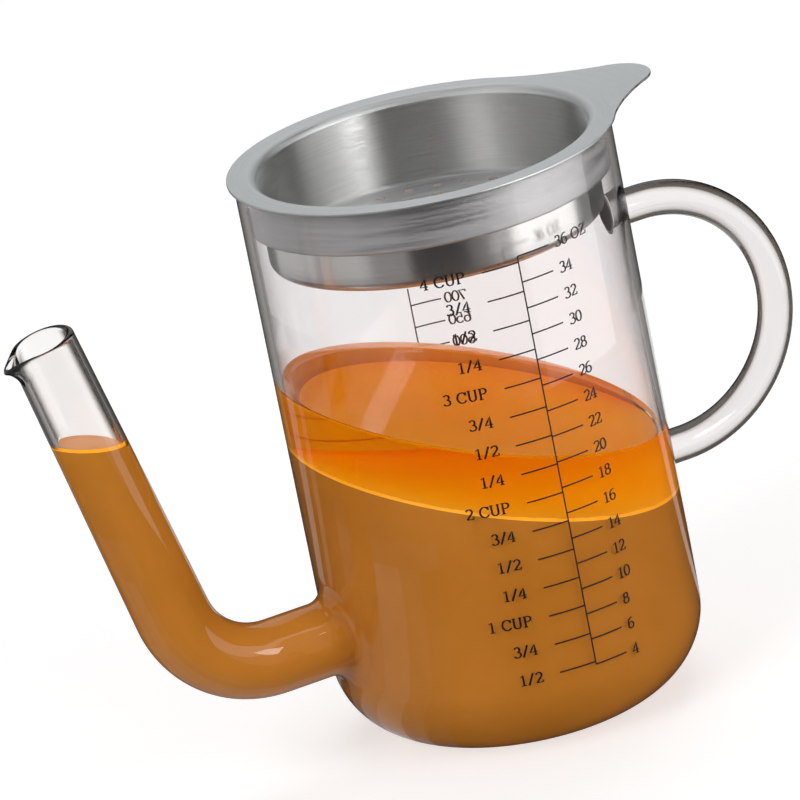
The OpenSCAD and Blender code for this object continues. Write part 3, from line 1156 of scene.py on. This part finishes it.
# %% [markdown]
# ## Brushed and polished steel
#
# Stainless steel 18/10 is a slightly warm grey metal. Its flange and wall were brushed while the cup
# spun, so the fine scratches run round the axis. They smear reflections at right angles to
# themselves: an anisotropic gloss with a tangent round the axis does this. The scratches themselves
# are noise that is stretched round the axis. They are 0.2 mm wide on the real one, and too fine to
# show here, so they are drawn 0.4 mm wide on the bright faces and 0.8 mm wide on the satin ones.


# %% Steel materials
GRAIN_LOW = 0.36
GRAIN_HIGH = 0.64


def steel_material(name, colour, roughness, streak, anisotropy, grain_mm):
    """Steel brushed round the Z axis, with streaks of a given depth in its roughness and tone."""
    material, tree, output = new_material(name)
    place = add_node(tree, "ShaderNodeTexCoord")
    parts = add_node(tree, "ShaderNodeSeparateXYZ", {"Vector": place.outputs["Object"]})
    x, y, z = (parts.outputs[axis] for axis in "XYZ")
    flat = add_node(tree, "ShaderNodeCombineXYZ", {"X": x, "Y": y})
    reach = add_node(
        tree, "ShaderNodeVectorMath", {"Vector": flat.outputs["Vector"]}, operation="LENGTH"
    )
    turn = add_node(tree, "ShaderNodeMath", {0: y, 1: x}, operation="ARCTAN2")
    # Scratches are long: the pattern passes once in about 25 mm round the axis
    per_turn = add_node(tree, "ShaderNodeMath", {0: turn.outputs[0], 1: 2.0}, operation="MULTIPLY")
    across = 1 / (grain_mm * MM)
    out = add_node(
        tree, "ShaderNodeMath", {0: reach.outputs["Value"], 1: across}, operation="MULTIPLY"
    )
    high = add_node(tree, "ShaderNodeMath", {0: z, 1: across}, operation="MULTIPLY")
    grain_place = add_node(
        tree,
        "ShaderNodeCombineXYZ",
        {"X": out.outputs[0], "Y": per_turn.outputs[0], "Z": high.outputs[0]},
    )
    grain = add_node(
        tree,
        "ShaderNodeTexNoise",
        {"Vector": grain_place.outputs["Vector"], "Scale": 1.0, "Detail": 2.0, "Roughness": 0.5},
    )
    rough = add_node(
        tree,
        "ShaderNodeMapRange",
        {
            "Value": grain.outputs["Fac"],
            "From Min": GRAIN_LOW,
            "From Max": GRAIN_HIGH,
            "To Min": roughness * (1 - streak),
            "To Max": roughness * (1 + streak),
        },
    )
    tone = add_node(
        tree,
        "ShaderNodeMapRange",
        {
            "Value": grain.outputs["Fac"],
            "From Min": GRAIN_LOW,
            "From Max": GRAIN_HIGH,
            "To Min": 1 - streak * 0.7,
            "To Max": 1.0,
        },
    )
    tint = add_node(
        tree,
        "ShaderNodeMix",
        {"Factor": 1.0, "A": to_linear(colour), "B": tone.outputs["Result"]},
        data_type="RGBA",
        blend_type="MULTIPLY",
    )
    bump = add_node(
        tree,
        "ShaderNodeBump",
        {"Height": grain.outputs["Fac"], "Strength": 0.25 * streak, "Distance": 0.00002},
    )
    tangent = add_node(tree, "ShaderNodeTangent", direction_type="RADIAL", axis="Z")
    body = add_node(
        tree,
        "ShaderNodeBsdfPrincipled",
        {
            "Base Color": tint.outputs["Result"],
            "Metallic": 1.0,
            "Roughness": rough.outputs["Result"],
            "Anisotropic": anisotropy,
            "Anisotropic Rotation": 0.25,
            "Normal": bump.outputs["Normal"],
            "Tangent": tangent.outputs["Tangent"],
        },
    )
    tree.links.new(body.outputs["BSDF"], output.inputs["Surface"])
    return material


# The flange, the floor and the collar are satin and look soft. The cup is polished outside, so it
# shows dark and bright bands, and brushed inside, where the bands smear into upright streaks of light
satin = steel_material("stainless_steel_satin", "#DADBDB", 0.54, 0.2, 0.3, 0.8)
polished = steel_material("stainless_steel_polished", "#F2F2F0", 0.24, 0.05, 0.6, 0.4)
brushed = steel_material("stainless_steel_brushed", "#DEDEDC", 0.5, 0.2, 1.0, 0.4)
for finish in (satin, polished, brushed):
    strainer_cup.data.materials.append(finish)
collar.data.materials.append(satin)
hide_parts("strainer_cup")
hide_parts("strainer_collar")
for piece in (strainer_cup, collar):
    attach(piece, "strainer")
print("steel pieces ride on the strainer")

# %% [markdown]
# ## The printed scale
#
# Measuring marks are screen-printed in black ceramic ink and fired on. The figures are drawn here as
# strokes of a broad pen: lines that run up and down come out thick, level ones thin, and stems get
# small serifs. Every stroke is a thin closed slab that follows the round wall.

# %% Strokes of the figures
FIGURE_HEIGHT = 2.95
FIGURE_SPREAD = 1.2
THICK_STROKE = 0.56
THIN_STROKE = 0.28


def bow(x, y, rx, ry, start, end, steps=12):
    """Points along a part of an ellipse, with its angles in degrees."""
    angles = np.radians(np.linspace(start, end, steps + 1))
    return [(x + rx * math.cos(a), y + ry * math.sin(a)) for a in angles]


FIGURES = {
    "0": (0.6, [bow(0.3, 0.5, 0.25, 0.49, 0, 360, 20)]),
    "1": (0.58, [[(0.08, 0.84), (0.28, 0.98), (0.28, 0)], [(0.08, 0), (0.48, 0)]]),
    "2": (
        0.62,
        [
            bow(0.3, 0.73, 0.22, 0.26, 165, -25) + [(0.07, 0.03)],
            [(0.06, 0.04), (0.56, 0.04), (0.58, 0.22)],
        ],
    ),
    "3": (
        0.62,
        [
            bow(0.29, 0.76, 0.2, 0.23, 160, -90, 10),
            bow(0.28, 0.27, 0.26, 0.27, 90, -155, 12),
        ],
    ),
    "4": (0.64, [[(0.6, 0.27), (0.03, 0.27), (0.42, 1), (0.42, 0)], [(0.26, 0), (0.58, 0)]]),
    "5": (
        0.6,
        [[(0.5, 0.97), (0.13, 0.97), (0.1, 0.5)], bow(0.28, 0.31, 0.26, 0.31, 140, -150, 12)],
    ),
    "6": (
        0.62,
        [
            bow(0.42, 0.45, 0.36, 0.53, 75, 180, 8),
            bow(0.31, 0.3, 0.24, 0.3, 0, 360, 16),
        ],
    ),
    "7": (0.6, [[(0.06, 0.78), (0.07, 0.96), (0.56, 0.96), (0.24, 0)]]),
    "8": (
        0.62,
        [bow(0.31, 0.76, 0.19, 0.22, 0, 360, 16), bow(0.31, 0.27, 0.24, 0.27, 0, 360, 16)],
    ),
    "/": (0.6, [[(0.08, -0.06), (0.5, 1.06)]]),
    "C": (0.8, [bow(0.43, 0.5, 0.35, 0.49, 40, 325, 20), [(0.7, 0.68), (0.71, 0.98)]]),
    "U": (
        0.84,
        [
            [(0.17, 1)] + bow(0.41, 0.3, 0.24, 0.29, 180, 360, 12) + [(0.65, 1)],
            [(0.04, 1), (0.3, 1)],
            [(0.54, 1), (0.76, 1)],
        ],
    ),
    "P": (
        0.72,
        [
            [(0.18, 0), (0.18, 1)],
            [(0.04, 1)] + bow(0.36, 0.74, 0.26, 0.25, 90, -90, 10) + [(0.18, 0.49)],
            [(0.04, 0), (0.34, 0)],
        ],
    ),
    "O": (0.92, [bow(0.46, 0.5, 0.38, 0.49, 0, 360, 22)]),
    "Z": (
        0.76,
        [[(0.1, 0.76), (0.12, 0.97), (0.66, 0.97), (0.08, 0.03), (0.66, 0.03), (0.68, 0.26)]],
    ),
    " ": (0.4, []),
}
FIGURES["9"] = (
    0.62,
    [[(0.62 - x, 1 - y) for x, y in stroke] for stroke in FIGURES["6"][1]],
)
print("figures drawn:", len(FIGURES))

# %% [markdown]
# ### Laying the ink on the wall
#
# A stroke becomes a ribbon whose width follows the pen, and the ribbon is wrapped round the wall. It
# is cut into short lengths, so that long ticks follow the curve too.

# %% Ink on the wall
INK_INNER = 0.01
INK_OUTER = 0.05
LONGEST_STEP = 1.5
ink = Shape()


def pen_width(dx, dy):
    """Width of a stroke in a direction, as a broad pen gives it."""
    length = math.hypot(dx, dy) or 1
    return THIN_STROKE + (THICK_STROKE - THIN_STROKE) * abs(dy / length)


def on_glass(place, angle, radius):
    """A place on the jug from its distance along the wall and its height."""
    turn = math.radians(angle) + place[0] / jug_r
    return radius * math.cos(turn), radius * math.sin(turn), place[1]


def lay_stroke(points, angle, width=None):
    """Lays a stroke of (along, height) points in millimetres on the wall at an angle."""
    closed = math.dist(points[0], points[-1]) < 1e-6
    fine = [points[0]]
    for a, b in zip(points, points[1:]):
        parts = max(1, math.ceil(math.dist(a, b) / LONGEST_STEP))
        fine += [
            (a[0] + (b[0] - a[0]) * k / parts, a[1] + (b[1] - a[1]) * k / parts)
            for k in range(1, parts + 1)
        ]
    if closed:
        fine.pop()
    count = len(fine)
    rows = []
    for i, (x, y) in enumerate(fine):
        before = fine[i - 1] if i or closed else fine[i]
        after = fine[(i + 1) % count] if closed or i + 1 < count else fine[i]
        dx, dy = after[0] - before[0], after[1] - before[1]
        length = math.hypot(dx, dy) or 1
        half = (width or pen_width(dx, dy)) / 2
        nx, ny = -dy / length * half, dx / length * half
        left, right_side = (x + nx, y + ny), (x - nx, y - ny)
        rows.append([
            on_glass(left, angle, jug_r + INK_OUTER),
            on_glass(right_side, angle, jug_r + INK_OUTER),
            on_glass(right_side, angle, jug_r + INK_INNER),
            on_glass(left, angle, jug_r + INK_INNER),
        ])
    numbers = [ink.add(row) for row in rows]
    if closed:
        numbers.append(numbers[0])
    ink.strips(numbers)
    if not closed:
        ink.faces.append(tuple(numbers[0]))
        ink.faces.append(tuple(numbers[-1][::-1]))


def text_width(text):
    """Width of a line of figures in millimetres."""
    return sum(FIGURES[c][0] for c in text) * FIGURE_HEIGHT * FIGURE_SPREAD


def lay_text(text, along, height, angle):
    """Lays figures on the wall from a distance along it, centred on a height."""
    for c in text:
        advance, strokes = FIGURES[c]
        for stroke in strokes:
            points = [
                (along + x * FIGURE_HEIGHT * FIGURE_SPREAD, height + (y - 0.5) * FIGURE_HEIGHT)
                for x, y in stroke
            ]
            lay_stroke(points, angle)
        along += advance * FIGURE_HEIGHT * FIGURE_SPREAD


# %% Ounces, cups and millilitres
FRONT_ANGLE = -90
BACK_ANGLE = 81
LINE_WIDTH = 0.4
scale_low_z = 24.1
ounce_step = 7.26
OUNCES = range(4, 37, 2)
tick_right = 9.7
tick_left = 10.3
number_gap = 2.1
cup_gap = 4.6
cup_low_z = 24.9
cup_step = 8.12
QUARTERS = range(2, 17)
scale_high_z = scale_low_z + ounce_step * (len(OUNCES) - 1)
lay_stroke([(0, scale_low_z), (0, scale_high_z)], FRONT_ANGLE, LINE_WIDTH)
for i, ounces in enumerate(OUNCES):
    z = scale_low_z + ounce_step * i
    lay_stroke([(0, z), (tick_right, z)], FRONT_ANGLE, LINE_WIDTH)
    label = f"{ounces} OZ" if ounces == OUNCES[-1] else str(ounces)
    lay_text(label, tick_right + number_gap, z, FRONT_ANGLE)
for i, quarters in enumerate(QUARTERS):
    z = cup_low_z + cup_step * i
    lay_stroke([(-tick_left, z), (0, z)], FRONT_ANGLE, LINE_WIDTH)
    whole, part = divmod(quarters, 4)
    label = ("", "1/4", "1/2", "3/4")[part] if part else f"{whole} CUP"
    lay_text(label, -tick_left - cup_gap - text_width(label), z, FRONT_ANGLE)
ml_tick = 8.9
ml_gap = 0.9
ml_high_z = 100.9
ml_step = 6.45
MILLILITRES = range(700, 0, -50)
lay_stroke([(0, ml_high_z + 5), (0, ml_high_z - ml_step * 13)], BACK_ANGLE, LINE_WIDTH)
for i, amount in enumerate(MILLILITRES):
    z = ml_high_z - ml_step * i
    lay_stroke([(-ml_tick, z), (0, z)], BACK_ANGLE, LINE_WIDTH)
    lay_text(str(amount), -ml_tick - ml_gap - text_width(str(amount)), z, BACK_ANGLE)
printed_scale = ink.to_object("printed_scale", smooth=False)
material, tree, output = new_material("fired_black_ceramic_ink")
place = add_node(tree, "ShaderNodeTexCoord")
# Ceramic ink fires to a fine grain of about 0.1 mm, drawn 0.3 mm coarse so that it shows
grain = add_node(
    tree,
    "ShaderNodeTexNoise",
    {"Vector": place.outputs["Object"], "Scale": 3300.0, "Detail": 1.0},
)
tone = add_node(tree, "ShaderNodeValToRGB", {"Fac": grain.outputs["Fac"]})
tone.color_ramp.elements[0].color = to_linear("#141210")
tone.color_ramp.elements[1].color = to_linear("#2A2623")
body = add_node(
    tree, "ShaderNodeBsdfPrincipled", {"Base Color": tone.outputs["Color"], "Roughness": 0.45}
)
tree.links.new(body.outputs["BSDF"], output.inputs["Surface"])
printed_scale.data.materials.append(material)
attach(printed_scale, "jug")
print("ink:", len(printed_scale.data.polygons), "faces,", open_edges(printed_scale)[0], "open edges")

# %% [markdown]
# ## The camera
#
# The photograph was taken from a little to the left of the front and from above, with a long lens,
# and the jug leans to the left in it. The camera stands where a camera fitted to the photograph
# stood, and it is turned about its own view by the lean.

# %% Camera
VIEW_AZIMUTH = math.radians(-22)
VIEW_ELEVATION = math.radians(19.47)
VIEW_ROLL = math.radians(11.35)
VIEW_DISTANCE = 1980.6
FOCAL_MM = 330.4
aim_height = 74.27
aim_right = -18.74
aim_up = 16.14
back = Vector((
    math.sin(VIEW_AZIMUTH) * math.cos(VIEW_ELEVATION),
    -math.cos(VIEW_AZIMUTH) * math.cos(VIEW_ELEVATION),
    math.sin(VIEW_ELEVATION),
))
right = Vector((math.cos(VIEW_AZIMUTH), math.sin(VIEW_AZIMUTH), 0))
up = back.cross(right)
target = Vector((0, 0, aim_height))
eye = target + back * VIEW_DISTANCE
aim = target + right * aim_right + up * aim_up
view_back = (eye - aim).normalized()
level_right = Vector((0, 0, 1)).cross(view_back).normalized()
level_up = view_back.cross(level_right)
rolled_right = level_right * math.cos(VIEW_ROLL) - level_up * math.sin(VIEW_ROLL)
rolled_up = level_up * math.cos(VIEW_ROLL) + level_right * math.sin(VIEW_ROLL)
camera_data = bpy.data.cameras.new("camera")
camera = bpy.data.objects.new("camera", camera_data)
camera_data.lens = FOCAL_MM
camera_data.sensor_width = 36
camera_data.clip_start = 0.05
camera_data.clip_end = 50
turn = Matrix((rolled_right, rolled_up, view_back)).transposed().to_4x4()
camera.matrix_world = Matrix.Translation(eye * MM) @ turn
bpy.context.scene.collection.objects.link(camera)
bpy.context.scene.camera = camera
print("camera at", [round(c, 3) for c in camera.location])

# %% [markdown]
# ## Floor and world
#
# The floor is a pale studio sweep. It has to look white beside the object and still keep its shadow,
# so it is pale matt paint with a little light of its own for the rays that show the background. Light
# that was mirrored inside a glass wall comes from the sides of the studio, which are dimmer, so floor
# and world are a light grey for such rays, and the glass is toned a little.


# %% How white the background is
def background_share(tree):
    """How much a ray sees of the white background, and whether it was trapped in a glass wall."""
    path = add_node(tree, "ShaderNodeLightPath")
    through = path.outputs["Is Transmission Ray"]
    bounced = add_node(
        tree,
        "ShaderNodeMath",
        {0: path.outputs["Glossy Depth"], 1: 0.5},
        operation="GREATER_THAN",
    )
    one_wall = add_node(
        tree,
        "ShaderNodeMath",
        {0: path.outputs["Transmission Depth"], 1: 2.5},
        operation="LESS_THAN",
    )
    inside = add_node(
        tree, "ShaderNodeMath", {0: bounced.outputs[0], 1: one_wall.outputs[0]}, operation="MULTIPLY"
    )
    trapped = add_node(
        tree, "ShaderNodeMath", {0: inside.outputs[0], 1: through}, operation="MULTIPLY"
    )
    seen = add_node(
        tree,
        "ShaderNodeMath",
        {0: path.outputs["Is Camera Ray"], 1: path.outputs["Is Glossy Ray"]},
        operation="ADD",
    )
    # A ray through clear glass counts as glossy too, so the sum is held at one
    either = add_node(
        tree,
        "ShaderNodeMath",
        {0: seen.outputs[0], 1: through},
        operation="ADD",
        use_clamp=True,
    )
    share = add_node(
        tree, "ShaderNodeMath", {0: either.outputs[0], 1: trapped.outputs[0]}, operation="SUBTRACT"
    )
    return share.outputs[0], trapped.outputs[0]


TRAPPED_LIGHT = "#B4B2B0"
DOME_GREY = "#8E8E8E"
world = bpy.data.worlds.new("studio")
bpy.context.scene.world = world
world.use_nodes = True
world.node_tree.nodes.clear()
tree = world.node_tree
share, trapped = background_share(tree)
room = add_node(
    tree,
    "ShaderNodeMix",
    {"Factor": trapped, "A": to_linear(DOME_GREY), "B": to_linear(TRAPPED_LIGHT)},
    data_type="RGBA",
)
sky = add_node(
    tree,
    "ShaderNodeMix",
    {"Factor": share, "A": room.outputs["Result"], "B": to_linear("#FFFFFF")},
    data_type="RGBA",
)
dome = add_node(tree, "ShaderNodeBackground", {"Color": sky.outputs["Result"], "Strength": 1.0})
add_node(tree, "ShaderNodeOutputWorld", {"Surface": dome.outputs[0]})

FLOOR_R = 2600
FLOOR_DROP = 0.05
FLOOR_GLOW = 0.6
floor_shape = Shape()
floor_rings = floor_shape.add(turned([(r, -FLOOR_DROP) for r in (60, 200, 600, FLOOR_R)], 96))
floor_shape.strips(list(floor_rings))
floor_shape.fan(floor_rings[0], (0, 0, -FLOOR_DROP))
floor = floor_shape.to_object("floor")
matt, tree, output = new_material("painted_studio_floor")
share, trapped = background_share(tree)
paint = add_node(tree, "ShaderNodeBsdfDiffuse", {"Color": to_linear("#D6D6D6")})
dim = add_node(tree, "ShaderNodeEmission", {"Color": to_linear(TRAPPED_LIGHT), "Strength": 1.0})
lit = add_node(tree, "ShaderNodeMixShader", {"Fac": trapped})
tree.links.new(paint.outputs[0], lit.inputs[1])
tree.links.new(dim.outputs[0], lit.inputs[2])
glow = add_node(tree, "ShaderNodeEmission", {"Color": to_linear("#FFFFFF")})
both = add_node(tree, "ShaderNodeAddShader")
shown = add_node(tree, "ShaderNodeMath", {0: share, 1: FLOOR_GLOW}, operation="MULTIPLY")
tree.links.new(shown.outputs[0], glow.inputs["Strength"])
tree.links.new(lit.outputs[0], both.inputs[0])
tree.links.new(glow.outputs[0], both.inputs[1])
tree.links.new(both.outputs[0], output.inputs["Surface"])
floor.data.materials.append(matt)
print("floor radius in metres:", FLOOR_R * MM)

# %% [markdown]
# ## Cards
#
# Polished steel shows nothing but what stands round it. A photographer puts black flags and white
# cards there, and so does this scene. Only rays that gloss has turned see the cards: they draw bands
# in the steel and streaks on the glass, and neither cast shadows nor show in the picture.


# %% Flags and cards
def card_material(name, grey, strength, trapped_tone):
    """Plain light, as bright as a grey times a strength, for rays that gloss has turned."""
    material, tree, output = new_material(name)
    path = add_node(tree, "ShaderNodeLightPath")
    mirrored = add_node(
        tree,
        "ShaderNodeMath",
        {0: path.outputs["Glossy Depth"], 1: 0.5},
        operation="GREATER_THAN",
    )
    share, trapped = background_share(tree)
    light = add_node(tree, "ShaderNodeEmission", {"Color": to_linear(grey), "Strength": strength})
    dim = add_node(tree, "ShaderNodeEmission", {"Color": to_linear(trapped_tone), "Strength": 1.0})
    clear = add_node(tree, "ShaderNodeBsdfTransparent")
    seen = add_node(tree, "ShaderNodeMixShader", {"Fac": trapped})
    tree.links.new(light.outputs[0], seen.inputs[1])
    tree.links.new(dim.outputs[0], seen.inputs[2])
    both = add_node(tree, "ShaderNodeMixShader", {"Fac": mirrored.outputs[0]})
    tree.links.new(clear.outputs[0], both.inputs[1])
    tree.links.new(seen.outputs[0], both.inputs[2])
    tree.links.new(both.outputs[0], output.inputs["Surface"])
    return material


def card(name, sector, radii, heights, grey, strength=1.0, trapped_tone=TRAPPED_LIGHT):
    """A card over a sector, in degrees right of the camera, between two radii and two heights."""
    start, end = (math.radians(a) + VIEW_AZIMUTH for a in sector)
    steps = max(2, math.ceil(abs(end - start) / math.radians(4)))
    rows = []
    for r, z in zip(radii, heights):
        angles = np.linspace(start, end, steps + 1)
        rows.append(
            np.stack([r * np.sin(angles), -r * np.cos(angles), np.full(steps + 1, z)], axis=-1)
        )
    shape = Shape()
    low_row, high_row = (shape.add(row) for row in rows)
    for i in range(steps):
        shape.faces.append((low_row[i], low_row[i + 1], high_row[i + 1], high_row[i]))
    thing = shape.to_object(name)
    thing.data.materials.append(card_material(name + "_light", grey, strength, trapped_tone))
    thing.visible_camera = False
    thing.visible_diffuse = False
    thing.visible_shadow = False
    thing.visible_volume_scatter = False
    return thing


TENT_R = 340
FLAG_TOP = 700
BACK_Z = 190
FRONT_Z = 230
# Standing cards and flags round the jug: name, sector, heights and grey, then strength and trapped
# tone where they differ from the usual ones
TENT_WALLS = [
    ("flag_front", (-20, 17), (0, FRONT_Z), "#060606"),
    ("card_front_high", (-20, 17), (FRONT_Z, FLAG_TOP), "#9A9A9A"),
    ("flag_front_soft", (17, 30), (0, FLAG_TOP), "#5E5E5E"),
    ("flag_right_soft", (30, 46), (0, FLAG_TOP), "#A4A4A4"),
    ("card_right", (46, 100), (0, FLAG_TOP), "#F0F0F0", 1.75),
    ("card_left_soft", (-46, -20), (0, FLAG_TOP), "#8A8A8A"),
    ("card_left", (-131, -46), (24, FLAG_TOP), "#CCCCCC"),
    ("flag_left_low", (-131, -46), (0, 24), "#303030"),
    ("flag_back_right", (100, 180), (0, BACK_Z), "#303030", 1.0, "#A4A2A0"),
    ("flag_back_left", (-180, -131), (0, BACK_Z), "#303030"),
    ("flag_side_right", (100, 148), (BACK_Z, FLAG_TOP), "#161616"),
    ("flag_side_left", (-148, -131), (BACK_Z, FLAG_TOP), "#161616"),
    ("card_back", (148, 212), (BACK_Z, FLAG_TOP), "#DCE0E2", 1.0),
]
for name, sector, heights, *light in TENT_WALLS:
    card(name, sector, (TENT_R, TENT_R), heights, *light)
card("card_ceiling", (0, 360), (0.5, 110), (FLAG_TOP, FLAG_TOP), "#FFFFFF", 1.5)
card("flag_ceiling", (0, 360), (110, TENT_R), (FLAG_TOP, FLAG_TOP), "#303030")
card("flag_floor", (-34, 150), (30, TENT_R), (0.8, 0.8), "#303030")
# The white table shows in the left of the gravy, softly from side to side and away from the jug
TABLE_GREYS = [(-99, "#707070"), (-88, "#A8A8A8"), (-74, "#C8C8C8"), (-58, "#909090"), (-46, "#585858")]
for i, (start, grey) in enumerate(TABLE_GREYS):
    end = TABLE_GREYS[i + 1][0] if i + 1 < len(TABLE_GREYS) else -34
    card(f"table_left_{i}", (start, end), (30, 205), (0.8, 0.8), grey)
card("table_left_far", (-99, -34), (205, 228), (0.8, 0.8), "#848484")
card("table_left_farther", (-99, -34), (228, 250), (0.8, 0.8), "#585858")
card("flag_floor_left", (-99, -34), (250, TENT_R), (0.8, 0.8), "#383838")
card("flag_floor_side", (-180, -99), (30, TENT_R), (0.8, 0.8), "#383838")
# A bright window on the right, and narrow strips on the table, draw the highlights on the glass
card("window_right", (36, 54), (TENT_R - 5, TENT_R - 5), (175, 305), "#FFFFFF", 7.0)
card("strip_left", (-133, -124), (30, TENT_R), (1.0, 2.0), "#B0B0B0")
card("strip_left_thin", (-118, -113), (30, TENT_R), (1.0, 2.0), "#8C8C8C")
card("strip_right", (126, 134), (30, TENT_R), (1.0, 2.0), "#C8C8C8")

# %% [markdown]
# ## Lamps
#
# Three large soft lamps light the matt surfaces: a key from the upper left, a fill from the right and
# one from above and behind. Together with the grey of the world they come to a level at which a
# colour renders about as it is written.


# %% Softboxes
def softbox(name, azimuth, elevation, distance, width, height, watts):
    """A soft lamp at an azimuth right of the camera and an elevation, in degrees, facing the jug."""
    data = bpy.data.lights.new(name, "AREA")
    data.shape = "RECTANGLE"
    data.size, data.size_y = width, height
    data.energy = watts
    lamp = bpy.data.objects.new(name, data)
    a, e = math.radians(azimuth) + VIEW_AZIMUTH, math.radians(elevation)
    away = Vector((math.sin(a) * math.cos(e), -math.cos(a) * math.cos(e), math.sin(e)))
    lamp.location = Vector((0, 0, 0.08)) + away * distance
    lamp.rotation_mode = "QUATERNION"
    lamp.rotation_quaternion = away.to_track_quat("Z", "Y")
    lamp.visible_camera = False
    bpy.context.scene.collection.objects.link(lamp)
    return lamp


softbox("key_lamp", -45, 40, 3.0, 1.25, 1.75, 22)
softbox("fill_lamp", 50, 25, 3.0, 1.3, 1.7, 20)
softbox("top_lamp", 170, 65, 3.0, 1.4, 2.1, 19)
bpy.context.scene.view_settings.view_transform = "Standard"
